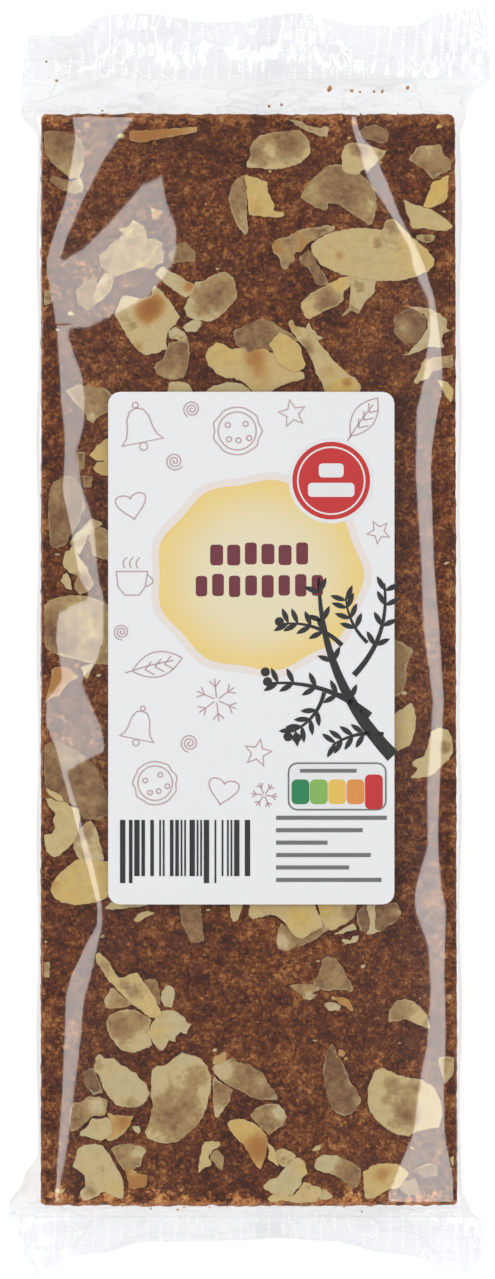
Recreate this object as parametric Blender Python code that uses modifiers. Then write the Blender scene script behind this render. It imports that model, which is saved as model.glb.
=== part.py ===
"""A filled speculaas bar, sealed in clear film with a crimped fin at each end, and its label.

The pack lies flat with its label side up. The origin is on the surface it lies on, under the
middle of its outline. +Y runs along the bar to the longer fin, +Z is up. The pack is one closed
solid out to the film: the slab, the panels that close its ends, both fins and the almond flakes
that lie on its top. The label is a thin plate over it.
"""

import math

import bpy
import bmesh
from mathutils import Vector

MM = 0.001

# The baked slab and the film drawn round it
BAR_WIDTH = 76.7 * MM
BAR_LENGTH = 202.0 * MM
BAR_Y = -3.8 * MM  # the bar's middle: the fin at +Y is the longer one
FILM_SIDE = 1.1 * MM  # how far the film stands off the bar's long sides
PACK_TOP = 16.6 * MM  # the film along the middle line, without flakes
CROWN = 0.5 * MM  # how far the top falls from the middle line to its edges
FLAT_HALF = 35.6 * MM  # half the width of the top before it rounds over
SIDE_SQUARE = 3.0  # exponent of the rounded long sides
SIDE_STEPS = 8
TOP_SHARES = (1.0, 0.66, 0.33, 0.0, -0.33, -0.66, -1.0)
SIDE_RIPPLE = 0.2 * MM
SIDE_RIPPLE_LENGTH = 37.0 * MM

# The back seam is a flat band between two shallow grooves of the underside
SEAM_X = 3.6 * MM
SEAM_WIDTH = 5.0 * MM
GROOVE_WIDTH = 0.6 * MM
GROOVE_DEPTH = 0.4 * MM

# The fins: film pressed together in fine pleats, which leaves the bar as a tent
FIN_WIDTH = 12.0 * MM
FIN_THICKNESS = 0.4 * MM
ROOT_THICKNESS = 0.7 * MM
FIN_CURL = 1.3  # rise of the edge for each mm that its outline falls short of the width
CURL_POWER = 1.6  # the fin leaves the tent level and steepens towards its edge
FIN_ROWS = (-0.12, 0.05, 0.25, 0.45, 0.7, 1.0)  # from inside the tent to the edge
INNER_ROW_SHARE = 0.93  # the row inside the tent is this much narrower
PLEAT_PITCH = 2.6 * MM
PLEAT_HEIGHT = 0.22 * MM
PLEAT_START = 0.25  # of the fin's width, over which the pleats grow to full height
EAR_SPAN = 4.0 * MM  # a side that reaches this far past the bar is a flat ear
EAR_SQUARE = 1.2  # exponent of an ear, which is nearly two flat sheets
TENT_CURVE = 1.3

# One end each: where the tent ends, how high the fin leaves it, and what the film's outline
# does from there, as (x, y) in mm from the bar's middle
TOP_END = {
    "tent": 7.4 * MM,
    "fin_z": 7.5 * MM,
    "edge": (
        (-41.0, 116.1),
        (-34.5, 115.8),
        (-25.7, 120.4),
        (-20.4, 120.6),
        (-6.3, 118.7),
        (9.6, 120.7),
        (20.0, 118.1),
        (30.0, 118.0),
        (36.5, 120.7),
        (44.2, 122.0),
    ),
    "left": ((97.0, 39.4), (101.9, 42.5), (108.3, 42.4), (116.1, 41.0)),
    "right": ((97.0, 39.4), (102.5, 40.6), (105.5, 41.5), (108.3, 45.0), (122.0, 44.2)),
}
LOW_END = {
    "tent": 3.0 * MM,
    "fin_z": 6.0 * MM,
    "edge": (
        (-40.0, -114.4),
        (-28.0, -110.4),
        (-16.7, -107.8),
        (0.0, -107.4),
        (5.2, -106.9),
        (14.0, -107.5),
        (25.0, -110.2),
        (41.0, -114.2),
    ),
    "left": (
        (-114.4, 40.0),
        (-109.8, 42.6),
        (-105.9, 45.0),
        (-101.9, 44.7),
        (-96.3, 42.0),
        (-92.0, 39.4),
    ),
    "right": ((-114.2, 41.0), (-111.1, 43.3), (-105.4, 43.9), (-102.8, 41.5), (-98.1, 39.4)),
}

# Stations of the loft, in mm from the bar's middle, and along a tent from 0 to 1
BAR_STATIONS = (-98.6, -96.3, -93.5, -88, -74, -58, -42, -26, -10, 6, 22, 38, 54, 70, 84, 93, 98)
TENT_STATIONS = (0.0, 0.25, 0.5, 0.75, 0.9, 1.0)
BAR_END_ROUND = 1.2 * MM

# The label, stuck on the film
LABEL_WIDTH = 53.0 * MM
LABEL_LENGTH = 94.9 * MM
LABEL_X = 0.4 * MM
LABEL_Y = BAR_Y + 2.2 * MM
LABEL_CORNER = 2.2 * MM
LABEL_THICKNESS = 0.25 * MM
LABEL_GAP = 0.3 * MM
LABEL_STRIPS = 8
CORNER_STEPS = 4

# The almond flakes: place from the bar's middle, length and width in mm, turn in degrees
FLAKES = (
    (22.8, 75.4, 23.0, 9.4, -6),
    (1.1, 54.5, 19.0, 6.6, -12),
    (-13.1, -81.4, 16.8, 11.4, 75),
    (29.0, -82.2, 14.0, 11.4, -20),
    (-31.4, 5.6, 14.0, 12.4, -30),
    (-32.0, -20.2, 14.6, 11.8, 20),
    (-18.8, 63.5, 13.0, 9.8, -45),
    (16.5, 86.9, 14.8, 8.2, -22),
    (-32.9, 27.9, 13.8, 9.6, 60),
    (14.1, 56.0, 17.8, 4.2, -47),
    (-21.5, 75.5, 11.8, 7.2, 10),
    (7.3, -48.5, 14.0, 5.4, -22),
    (-22.0, -60.2, 16.6, 4.2, -48),
    (-30.2, 19.7, 13.0, 5.4, 65),
    (-34.5, -30.2, 12.8, 6.0, 80),
    (5.7, 94.5, 12.0, 6.2, 15),
    (-7.4, 67.6, 10.4, 8.0, 45),
    (-23.7, -78.1, 11.0, 7.6, -40),
    (-27.5, -95.0, 11.4, 7.6, -60),
    (17.1, -78.1, 13.6, 4.8, -75),
    (-0.6, -77.6, 13.0, 5.4, -30),
    (-31.3, -41.4, 11.0, 8.0, 20),
    (9.7, 77.1, 11.8, 4.4, 22),
    (9.2, -98.4, 11.8, 3.6, 3),
    (-22.0, -68.6, 9.2, 7.6, -20),
    (14.1, 67.0, 10.8, 4.4, 38),
    (0.2, -89.5, 10.8, 4.8, -55),
    (33.7, 61.1, 8.8, 6.0, 60),
    (-34.3, 94.0, 8.8, 6.4, -45),
    (3.2, 60.2, 11.2, 4.8, -15),
    (25.2, -96.6, 8.2, 6.4, 20),
    (34.2, -17.5, 9.2, 6.0, 50),
    (-1.4, 84.7, 10.8, 4.2, 100),
    (1.9, 86.1, 7.6, 4.8, -80),
    (17.1, -94.7, 10.4, 4.4, -25),
    (32.3, 82.0, 9.8, 4.2, -22),
    (-15.0, -68.3, 8.2, 5.8, 30),
    (33.9, 92.8, 8.2, 4.8, -30),
    (20.9, 93.4, 8.2, 5.4, 30),
    (6.8, -95.2, 9.2, 4.8, 55),
    (29.0, -12.6, 9.4, 4.0, 75),
    (-29.4, -84.9, 8.2, 7.0, 10),
    (-14.4, 55.9, 7.6, 6.0, 60),
    (16.3, -58.5, 8.2, 5.4, -50),
    (29.8, -65.4, 8.4, 3.8, -25),
    (-15.9, 97.6, 12.8, 1.8, 7),
    (-35.4, -4.4, 7.0, 4.8, 20),
    (7.1, 57.0, 7.6, 5.4, -50),
    (-29.6, 48.5, 8.0, 5.8, 20),
    (34.4, 54.0, 7.6, 4.4, 30),
    (23.6, -48.0, 7.6, 4.8, 0),
    (3.8, -84.9, 7.0, 4.2, 20),
)
FLAKE_SIDES = 10
FLAKE_WOBBLE = 0.1
FLAKE_RISE = 0.4 * MM
FLAKE_STEP = 0.035 * MM  # flakes that cross lie at different heights and depths
FLAKE_HEIGHTS = 13
FLAKE_SINK = 0.7 * MM
FLAKE_TAPER = 0.86  # of the outline, at the flake's upper face
FLAKE_EDGE = 0.6  # of the rise, where the outline is widest
FLAKE_LOBES = 3
MERGE = 0.02 * MM


def between(points, at):
    """Value at a place along key points, level at each of them, and steady past the ends."""
    if at <= points[0][0]:
        return points[0][1]
    for (start, low), (end, high) in zip(points, points[1:]):
        if at <= end:
            share = (at - start) / (end - start)
            return low + (high - low) * share * share * (3 - 2 * share)
    return points[-1][1]


def clear_scene():
    for item in list(bpy.data.objects):
        bpy.data.objects.remove(item, do_unlink=True)


def new_collection(name):
    made = bpy.data.collections.new(name)
    bpy.context.scene.collection.children.link(made)
    return made


def new_object(name, shape, collection):
    """An object from a bmesh, with its faces turned outwards."""
    bmesh.ops.recalc_face_normals(shape, faces=shape.faces)
    mesh = bpy.data.meshes.new(name)
    shape.to_mesh(mesh)
    shape.free()
    made = bpy.data.objects.new(name, mesh)
    collection.objects.link(made)
    return made


def finish(name, colour, roughness):
    material = bpy.data.materials.new(name)
    material.use_nodes = True
    shader = material.node_tree.nodes["Principled BSDF"]
    shader.inputs["Base Color"].default_value = (*colour, 1.0)
    shader.inputs["Roughness"].default_value = roughness
    shader.inputs["Metallic"].default_value = 0.0
    return material


def apply_modifiers(item):
    """Keeps the evaluated mesh of an object and drops its modifiers."""
    graph = bpy.context.evaluated_depsgraph_get()
    mesh = bpy.data.meshes.new_from_object(item.evaluated_get(graph))
    item.modifiers.clear()
    item.data = mesh


def top_height(x):
    """The film's height over the bar at a distance from the middle line."""
    return PACK_TOP - CROWN * min(abs(x) / FLAT_HALF, 1.0) ** 2


def side_reach(side, y):
    """How far the film's outline reaches from the middle line, y from the bar's middle."""
    end = TOP_END if y > 0 else LOW_END
    plain = BAR_WIDTH / 2 + FILM_SIDE
    ripple = SIDE_RIPPLE * math.sin(2 * math.pi * y / SIDE_RIPPLE_LENGTH + (side == "left"))
    ear = between(end[side], y / MM) * MM - plain
    return plain + ripple * (ear < SIDE_RIPPLE) + max(ear, 0.0)


def section(y, low, high):
    """Closed outline of the pack at one station, seen along +Y from its lower left corner."""
    middle = (low + high) / 2
    depth = GROOVE_DEPTH * (high - low - ROOT_THICKNESS) / PACK_TOP
    reach = {side: side_reach(side, y) for side in ("left", "right")}
    ear = {
        side: min(max(reach[side] - BAR_WIDTH / 2 - FILM_SIDE - SIDE_RIPPLE, 0) / EAR_SPAN, 1)
        for side in reach
    }
    flat = {side: FLAT_HALF + (BAR_WIDTH / 2 - FLAT_HALF) * ear[side] for side in reach}
    square = {side: SIDE_SQUARE + (EAR_SQUARE - SIDE_SQUARE) * ear[side] for side in reach}
    fall = CROWN * (high - low) / PACK_TOP

    def flank(side, sign):
        """From the bottom's edge round the side to the top's edge."""
        points = []
        for step in range(1, SIDE_STEPS):
            turn = math.pi * step / SIDE_STEPS
            out = abs(math.sin(turn)) ** (2 / square[side])
            up = math.copysign(abs(math.cos(turn)) ** (2 / square[side]), -math.cos(turn))
            x = flat[side] + (reach[side] - flat[side]) * out
            rise = (high - fall if up > 0 else high) - middle
            points.append((sign * x, middle + up * rise))
        return points

    seam_left = SEAM_X - SEAM_WIDTH / 2
    seam_right = SEAM_X + SEAM_WIDTH / 2
    points = [(-flat["left"], low), (-flat["left"] / 2, low)]
    for edge, sign in ((seam_left, -1), (seam_right, 1)):
        groove = [
            (edge + sign * GROOVE_WIDTH, low),
            (edge + sign * GROOVE_WIDTH / 2, low + depth),
            (edge, low),
        ]
        points += groove if sign < 0 else groove[::-1]
    points += [((seam_right + flat["right"]) / 2, low), (flat["right"], low)]
    points += flank("right", 1)
    for share in TOP_SHARES:
        x = share * flat["right" if share > 0 else "left"]
        points.append((x, high - fall * share * share))
    points += flank("left", -1)[::-1]
    return [(x, BAR_Y + y, z) for x, z in points]


def stations():
    """Every station of the pack's loft as (y, low, high), from the low end to the top end."""
    found = []
    for end, way in ((LOW_END, -1), (TOP_END, 1)):
        tent = []
        for share in TENT_STATIONS:
            y = way * (BAR_LENGTH / 2 + end["tent"] * share)
            open_share = 1 - share**TENT_CURVE
            half = ROOT_THICKNESS / 2 + (PACK_TOP / 2 - ROOT_THICKNESS / 2) * open_share
            middle = end["fin_z"] + (PACK_TOP / 2 - end["fin_z"]) * open_share
            tent.append((y, middle - half, middle + half))
        bar = [(y * MM, 0.0, PACK_TOP) for y in BAR_STATIONS if (y > 0) == (way > 0)]
        found += tent[::-1] + bar if way < 0 else bar + tent
    return found


def build_body(collection):
    """The loft over all stations, closed by a fan of faces in each fin's root."""
    shape = bmesh.new()
    rings = []
    for y, low, high in stations():
        rings.append([shape.verts.new(point) for point in section(y, low, high)])
    for first, second in zip(rings, rings[1:]):
        for index in range(len(first)):
            after = (index + 1) % len(first)
            shape.faces.new((first[index], first[after], second[after], second[index]))
    for ring, end in ((rings[0], LOW_END), (rings[-1], TOP_END)):
        middle = shape.verts.new((0.0, ring[0].co.y, end["fin_z"]))
        for index, corner in enumerate(ring):
            shape.faces.new((corner, ring[(index + 1) % len(ring)], middle))
    bmesh.ops.triangulate(shape, faces=shape.faces)
    return new_object("film_pack", shape, collection)


def build_fin(name, end, way, collection):
    """A pleated sheet from inside the tent out to the film's edge, curled where that is short."""
    root = BAR_LENGTH / 2 + end["tent"]
    edge = end["edge"]
    pleats = round(2 * (edge[-1][0] - edge[0][0]) * MM / PLEAT_PITCH)
    shape = bmesh.new()
    grid = []
    for share in FIN_ROWS:
        out = max(share, 0.0)
        line = []
        for column in range(pleats + 1):
            across = column / pleats
            tip_x = edge[0][0] + (edge[-1][0] - edge[0][0]) * across
            plan = abs(between(edge, tip_x)) * MM - root
            rise = FIN_CURL * max(FIN_WIDTH - plan, 0.0)
            y = root + plan * share
            z = end["fin_z"] + rise * out**CURL_POWER
            inset = INNER_ROW_SHARE if share < 0 else 1.0
            left = -side_reach("left", way * y) * inset
            right = side_reach("right", way * y) * inset
            slope = Vector((plan, rise * CURL_POWER * out ** (CURL_POWER - 1))).normalized()
            lift = PLEAT_HEIGHT * (-1) ** column * min(out / PLEAT_START, 1.0)
            y -= lift * slope.y
            z += lift * slope.x
            line.append(shape.verts.new((left + (right - left) * across, BAR_Y + way * y, z)))
        grid.append(line)
    for first, second in zip(grid, grid[1:]):
        for index in range(pleats):
            corners = (first[index], first[index + 1], second[index + 1], second[index])
            shape.faces.new(corners if way > 0 else corners[::-1])
    fin = new_object(name, shape, collection)
    wall = fin.modifiers.new("film", "SOLIDIFY")
    wall.thickness = FIN_THICKNESS
    wall.offset = 0.0
    apply_modifiers(fin)
    return fin


def off_label(x, y, gap):
    """Moves a point that would lie under the label to just outside its nearest edge."""
    half_x = LABEL_WIDTH / 2 + gap
    half_y = LABEL_LENGTH / 2 + gap
    right = x - LABEL_X
    up = y - LABEL_Y
    if abs(right) >= half_x or abs(up) >= half_y:
        return x, y
    if half_x - abs(right) < half_y - abs(up):
        return LABEL_X + math.copysign(half_x, right), y
    return x, LABEL_Y + math.copysign(half_y, up)


def build_flake(index, flake, collection):
    """A low oval plate with an uneven outline, its underside sunk in the bar's top."""
    x, y, length, width, turn = flake
    level = FLAKE_STEP * (5 * index % FLAKE_HEIGHTS)
    rise = FLAKE_RISE + level
    end_limit = BAR_LENGTH / 2 - BAR_END_ROUND - level
    side_limit = BAR_WIDTH / 2 - BAR_END_ROUND - level
    shape = bmesh.new()
    rings = []
    tilt = math.radians(turn)
    levels = ((1.0, -FLAKE_SINK - level), (1.0, rise * FLAKE_EDGE), (FLAKE_TAPER, rise))
    for scale, lift in levels:
        ring = []
        for side in range(FLAKE_SIDES):
            around = 2 * math.pi * side / FLAKE_SIDES
            uneven = scale * (1 + FLAKE_WOBBLE * math.sin(FLAKE_LOBES * around + 2 * index))
            along = length * MM / 2 * uneven * math.cos(around)
            across = width * MM / 2 * uneven * math.sin(around)
            px = x * MM + along * math.cos(tilt) - across * math.sin(tilt)
            py = y * MM + along * math.sin(tilt) + across * math.cos(tilt)
            px = max(min(px, side_limit), -side_limit)
            py = max(min(py, end_limit), -end_limit)
            px, py = off_label(px, py + BAR_Y, LABEL_GAP + level)
            ring.append(shape.verts.new((px, py, top_height(px) + lift)))
        rings.append(ring)
    for first, second in zip(rings, rings[1:]):
        for side in range(FLAKE_SIDES):
            after = (side + 1) % FLAKE_SIDES
            shape.faces.new((first[side], first[after], second[after], second[side]))
    shape.faces.new(rings[0][::-1])
    shape.faces.new(rings[-1])
    bmesh.ops.remove_doubles(shape, verts=shape.verts, dist=MERGE)
    bmesh.ops.triangulate(shape, faces=shape.faces)
    return new_object(f"flake_{index:02d}", shape, collection)


def build_pack(parts):
    """The slab in its film with both fins and all flakes, joined into one body."""
    pieces = new_collection("pieces_to_join")
    body = build_body(parts)
    build_fin("fin_top", TOP_END, 1, pieces)
    build_fin("fin_low", LOW_END, -1, pieces)
    for index, flake in enumerate(FLAKES):
        build_flake(index, flake, pieces)
    union = body.modifiers.new("join", "BOOLEAN")
    union.operation = "UNION"
    union.operand_type = "COLLECTION"
    union.collection = pieces
    union.solver = "EXACT"
    apply_modifiers(body)
    for item in list(pieces.objects):
        bpy.data.objects.remove(item, do_unlink=True)
    bpy.data.collections.remove(pieces)
    body.data.materials.append(finish("filmed_biscuit", (0.17, 0.08, 0.05), 0.3))
    return body


def build_label(parts):
    """A rounded plate that follows the film's crown, just above it."""
    shape = bmesh.new()
    outline = []
    for sign_x, sign_y, start in ((1, 1, 0), (-1, 1, 90), (-1, -1, 180), (1, -1, 270)):
        for step in range(CORNER_STEPS + 1):
            turn = math.radians(start + step * 90 / CORNER_STEPS)
            x = sign_x * (LABEL_WIDTH / 2 - LABEL_CORNER) + LABEL_CORNER * math.cos(turn)
            y = sign_y * (LABEL_LENGTH / 2 - LABEL_CORNER) + LABEL_CORNER * math.sin(turn)
            outline.append(shape.verts.new((LABEL_X + x, LABEL_Y + y, 0.0)))
    base = shape.faces.new(outline)
    grown = bmesh.ops.extrude_face_region(shape, geom=[base])
    lifted = [item for item in grown["geom"] if isinstance(item, bmesh.types.BMVert)]
    bmesh.ops.translate(shape, verts=lifted, vec=(0.0, 0.0, LABEL_THICKNESS))
    for strip in range(1, LABEL_STRIPS):
        cut = LABEL_X + LABEL_WIDTH * (strip / LABEL_STRIPS - 0.5)
        bmesh.ops.bisect_plane(
            shape,
            geom=[*shape.verts, *shape.edges, *shape.faces],
            dist=MERGE / 10,
            plane_co=(cut, 0.0, 0.0),
            plane_no=(1.0, 0.0, 0.0),
        )
    for vertex in shape.verts:
        vertex.co.z += top_height(vertex.co.x) + LABEL_GAP
    bmesh.ops.triangulate(shape, faces=shape.faces)
    label = new_object("label", shape, parts)
    label.data.materials.append(finish("label_paper", (0.84, 0.85, 0.86), 0.35))
    return label


def main():
    clear_scene()
    parts = new_collection("filled_speculaas_bar")
    build_pack(parts)
    build_label(parts)


main()
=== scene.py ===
# %% [markdown]
# # A filled speculaas bar in its film pack
#
# The real thing is a flat baked bar with almond flakes on it, drawn into a tube of clear film
# whose two ends are pressed shut in pleats. A white label sits on the film. The CAD model gives
# one solid out to the film and a plate for the label. This lesson makes what the eye sees: the
# biscuit, the almonds, the thin film with its creases, and the print.

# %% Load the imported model
import math
import random

import bpy
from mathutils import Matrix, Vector, noise
from mathutils.geometry import delaunay_2d_cdt


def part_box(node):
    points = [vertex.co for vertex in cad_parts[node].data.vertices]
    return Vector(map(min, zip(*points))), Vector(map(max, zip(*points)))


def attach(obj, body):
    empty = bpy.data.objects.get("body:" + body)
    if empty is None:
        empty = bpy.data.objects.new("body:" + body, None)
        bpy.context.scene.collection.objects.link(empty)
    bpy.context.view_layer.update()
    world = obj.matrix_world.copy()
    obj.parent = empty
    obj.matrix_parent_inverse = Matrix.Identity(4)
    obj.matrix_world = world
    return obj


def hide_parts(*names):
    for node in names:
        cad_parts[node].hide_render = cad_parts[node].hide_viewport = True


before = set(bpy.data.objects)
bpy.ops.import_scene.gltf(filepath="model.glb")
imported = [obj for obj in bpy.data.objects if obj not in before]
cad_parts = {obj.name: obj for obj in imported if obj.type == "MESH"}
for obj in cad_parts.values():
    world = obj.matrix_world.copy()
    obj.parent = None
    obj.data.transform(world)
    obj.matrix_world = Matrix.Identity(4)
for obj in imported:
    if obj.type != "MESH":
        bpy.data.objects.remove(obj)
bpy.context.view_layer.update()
pack_low, pack_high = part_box("film_pack")
label_low, label_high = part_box("label")
print("pack", [round(1000 * side, 1) for side in pack_high - pack_low], "mm")

# %% [markdown]
# ## Sizes
#
# Everything is placed from a few sizes in millimetres. The bar's middle is a little below the
# pack's, because the fin at the far end is the longer one. Places on the bar are given from the
# bar's own middle, so they read like places on the biscuit itself. Its top is crowned: it falls
# by CROWN towards the long edges, and the label follows it.

# %% Driving sizes
MM = 0.001
BAR_Y = -3.8
BAR_WIDTH = 76.7
BAR_LENGTH = 202.0
BAR_TOP = 15.0
CROWN = 0.5
CROWN_HALF = 35.6
BAR_BOTTOM = 0.45
FILM_TOP = 16.6
FILM_SIDE = 1.1
LABEL_X = 500 * (label_low.x + label_high.x)
LABEL_Y = 500 * (label_low.y + label_high.y)
print("label middle", round(LABEL_X, 2), round(LABEL_Y, 2))


# %% [markdown]
# ## Small helpers
#
# An operator works on whatever is selected, so each new piece starts with nothing selected.
# `between` reads a value from a few key points, and `hand_over` gives a piece its finish and
# lets it ride on the pack.

# %% Helpers for modelling
def nothing_selected():
    for item in bpy.context.selected_objects:
        item.select_set(False)


def only(piece):
    nothing_selected()
    piece.select_set(True)
    bpy.context.view_layer.objects.active = piece
    return piece


def started(name):
    """The primitive that an operator has just added, under its own name."""
    piece = bpy.context.object
    piece.name = name
    piece.data.name = name
    return only(piece)


def edited(piece, *steps):
    """Runs edit mode operators on all of a piece. A step is the operator and its settings."""
    only(piece)
    bpy.ops.object.mode_set(mode="EDIT")
    bpy.ops.mesh.select_all(action="SELECT")
    for operator, settings in steps:
        operator(**settings)
    bpy.ops.object.mode_set(mode="OBJECT")
    return piece


def applied(piece, kind, **settings):
    """Adds a modifier, sets it and applies it."""
    only(piece)
    modifier = piece.modifiers.new(kind.lower(), kind)
    for key, value in settings.items():
        setattr(modifier, key, value)
    bpy.ops.object.modifier_apply(modifier=modifier.name)
    return piece


def joined(name, pieces):
    """All pieces as one, under a name."""
    only(pieces[0])
    for piece in pieces:
        piece.select_set(True)
    bpy.ops.object.join()
    return started(name)


def smooth_faces(piece, degrees=180):
    only(piece)
    bpy.ops.object.shade_smooth_by_angle(angle=math.radians(degrees))
    return piece


def between(points, at):
    """Value at a place along key points, level at each of them, and steady past the ends."""
    if at <= points[0][0]:
        return points[0][1]
    for (start, low), (end, high) in zip(points, points[1:]):
        if at <= end:
            share = (at - start) / (end - start)
            return low + (high - low) * share * share * (3 - 2 * share)
    return points[-1][1]


def clamp(value, low=0.0, high=1.0):
    return max(low, min(high, value))


def crown(x):
    """How far the bar's top has fallen at a distance from its middle line."""
    return CROWN * min(abs(x) / CROWN_HALF, 1.0) ** 2


def wave(x, y, seed):
    """Soft noise from -1 to 1. The third value is a height, or picks another pattern."""
    return noise.noise(Vector((x, y, seed)))


def hand_over(piece, finish, slot, *replaced):
    """Gives a finished piece its material and its place on the pack."""
    piece.data.materials.clear()
    piece.data.materials.append(finish)
    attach(piece, "root")
    if replaced:
        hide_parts(*replaced)
    count = sum(len(face.vertices) - 2 for face in piece.data.polygons)
    print(piece.name, count, "triangles")


print("the top falls", crown(BAR_WIDTH / 2), "mm towards its long edges")


# %% [markdown]
# ## Shader maths as Python
#
# A material is a tree of nodes. `Wire` wraps one output, so that `1 - mask * 0.5` adds its Math
# nodes by itself, and `Recipe.add` makes any other node: its type, its settings, then its
# sockets. Colours go through a Mix node, because a Math node would turn them grey.

# %% Wires and recipes
class Wire:
    """One output of a shader tree that Python's operators work on."""

    def __init__(self, recipe, socket):
        self.recipe = recipe
        self.socket = socket

    def maths(self, operation, *values, clamped=False):
        settings = {"operation": operation, "use_clamp": clamped}
        return self.recipe.add("ShaderNodeMath", settings, dict(enumerate(values)))["Value"]

    def __add__(self, other):
        return self.maths("ADD", self, other)

    def __radd__(self, other):
        return self.maths("ADD", other, self)

    def __sub__(self, other):
        return self.maths("SUBTRACT", self, other)

    def __rsub__(self, other):
        return self.maths("SUBTRACT", other, self)

    def __mul__(self, other):
        return self.maths("MULTIPLY", self, other)

    def __rmul__(self, other):
        return self.maths("MULTIPLY", other, self)

    def __truediv__(self, other):
        return self.maths("DIVIDE", self, other)

    def __abs__(self):
        return self.maths("ABSOLUTE", self)

    def held(self):
        """The same value, kept between 0 and 1."""
        return self.maths("ADD", self, 0.0, clamped=True)

    def step(self, start, end):
        """0 below start, 1 past end, and smooth between."""
        settings = {"interpolation_type": "SMOOTHSTEP"}
        sockets = {0: self, 1: start, 2: end, 3: 0.0, 4: 1.0}
        return self.recipe.add("ShaderNodeMapRange", settings, sockets)["Result"]


class Node:
    """A node of a recipe, whose outputs are read by name or number."""

    def __init__(self, recipe, node):
        self.recipe = recipe
        self.node = node

    def __getitem__(self, output):
        return Wire(self.recipe, self.node.outputs[output])


class Recipe:
    """The tree of a material, or of the world. Every node comes from add."""

    def __init__(self, name, world=False):
        self.owner = (bpy.data.worlds if world else bpy.data.materials).new(name)
        self.output = "ShaderNodeOutputWorld" if world else "ShaderNodeOutputMaterial"
        self.owner.use_nodes = True
        self.tree = self.owner.node_tree
        self.tree.nodes.clear()

    def add(self, kind, settings=None, sockets=None):
        node = self.tree.nodes.new(kind)
        for key, value in (settings or {}).items():
            if key == "stops":
                while len(node.color_ramp.elements) < len(value):
                    node.color_ramp.elements.new(1.0)
                for element, (place, colour) in zip(node.color_ramp.elements, value):
                    element.position = place
                    element.color = (*colour, 1.0)
            else:
                setattr(node, key, value)
        for key, value in (sockets or {}).items():
            if isinstance(value, Wire):
                self.tree.links.new(value.socket, node.inputs[key])
            elif isinstance(value, tuple) and len(value) == 3 and node.inputs[key].type == "RGBA":
                node.inputs[key].default_value = (*value, 1.0)
            else:
                node.inputs[key].default_value = value
        return Node(self, node)

    def colours(self, factor, first, second, how="MIX"):
        """Two colours mixed by a factor."""
        settings = {"data_type": "RGBA", "blend_type": how, "clamp_factor": True}
        return self.add("ShaderNodeMix", settings, {0: factor, 6: first, 7: second})[2]

    def place(self):
        """Object coordinates, which are metres on the pack."""
        return self.add("ShaderNodeTexCoord")["Object"]

    def grain(self, place, scale, detail=2.0, rough=0.5):
        """Noise from 0 to 1, with grains of about 1 / scale metres."""
        sockets = {"Vector": place, "Scale": scale, "Detail": detail, "Roughness": rough}
        return self.add("ShaderNodeTexNoise", None, sockets)["Fac"]

    def ramp(self, factor, *stops):
        """Colours along a factor. Each stop is a place and an sRGB colour."""
        stops = [(place, linear(*colour)) for place, colour in stops]
        return self.add("ShaderNodeValToRGB", {"stops": stops}, {"Fac": factor})["Color"]

    def bump(self, height, strength, distance):
        """A normal that leans as a height rises and falls."""
        sockets = {"Height": height, "Strength": strength, "Distance": distance}
        return self.add("ShaderNodeBump", None, sockets)["Normal"]

    def coat(self, sockets):
        """A Principled shader with some of its sockets set."""
        return self.add("ShaderNodeBsdfPrincipled", None, sockets)["BSDF"]

    def finished(self, shader):
        self.add(self.output, None, {"Surface": shader})
        return self.owner


def linear(red, green, blue):
    """An sRGB colour from 0 to 255 as the linear values that a shader takes."""
    found = []
    for value in (red / 255, green / 255, blue / 255):
        found.append(value / 12.92 if value <= 0.04045 else ((value + 0.055) / 1.055) ** 2.4)
    return tuple(found)


print("mid grey in linear light", round(linear(128, 128, 128)[0], 3))


# %% [markdown]
# ## Camera
#
# The photograph looks straight down with a long lens. Its frame is 1279 pixels high and the
# bar is 5.4 pixels to the millimetre, so the frame takes in 237 mm at the height of the film.

# %% Camera straight above
PHOTO_HIGH = 1279
PIXELS_PER_MM = 5.4
FRAME_HIGH = PHOTO_HIGH / PIXELS_PER_MM
FRAME_X = -0.3
LENS = 190.0
SENSOR = 36.0
CAMERA_HIGH = FILM_TOP + LENS * FRAME_HIGH / SENSOR
camera_data = bpy.data.cameras.new("camera")
camera_data.lens = LENS
camera_data.sensor_width = SENSOR
camera_data.clip_end = 10.0
camera = bpy.data.objects.new("camera", camera_data)
camera.location = (FRAME_X * MM, 0.0, CAMERA_HIGH * MM)
bpy.context.scene.collection.objects.link(camera)
bpy.context.scene.camera = camera
print("camera height", round(CAMERA_HIGH), "mm")

# %% [markdown]
# ## Light
#
# Clear film is seen by what it mirrors. Flat film mirrors the dim space above it and nearly
# vanishes. Where a crease tilts it by two degrees it mirrors one of two long lights that hang
# beside the camera, and turns milky white. Larger, softer lights further out light the biscuit.
# The world's glow is that of the walls, dimmer in a cone overhead and near the horizon. The
# floor glows as a light table does, so that no hard shadow falls on it.

# %% Lights, world and floor
STRIP_X = 0.155
STRIP_Z = 1.3
STRIP_SIZE = (0.115, 0.9)
STRIPS = (("strip_left", -STRIP_X, 4.4), ("strip_right", STRIP_X, 4.9))
SOFT_LIGHTS = (
    ("soft_left", (-0.9, 0.25, 0.9), (0.5, 0.9), 2.2),
    ("soft_right", (0.95, -0.1, 0.8), (0.4, 0.8), 1.2),
)
WALLS = 0.62
OVERHEAD = 0.09
DIM_CONE = (math.cos(math.radians(32)), math.cos(math.radians(14)))
HORIZON = 0.15
HORIZON_BAND = (0.05, 0.45)
SKY_TINT = (0.98, 0.985, 1.0)
FLOOR_Z = -0.0002
FLOOR_GREY = 0.25
FLOOR_GLOW = 0.86


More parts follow.
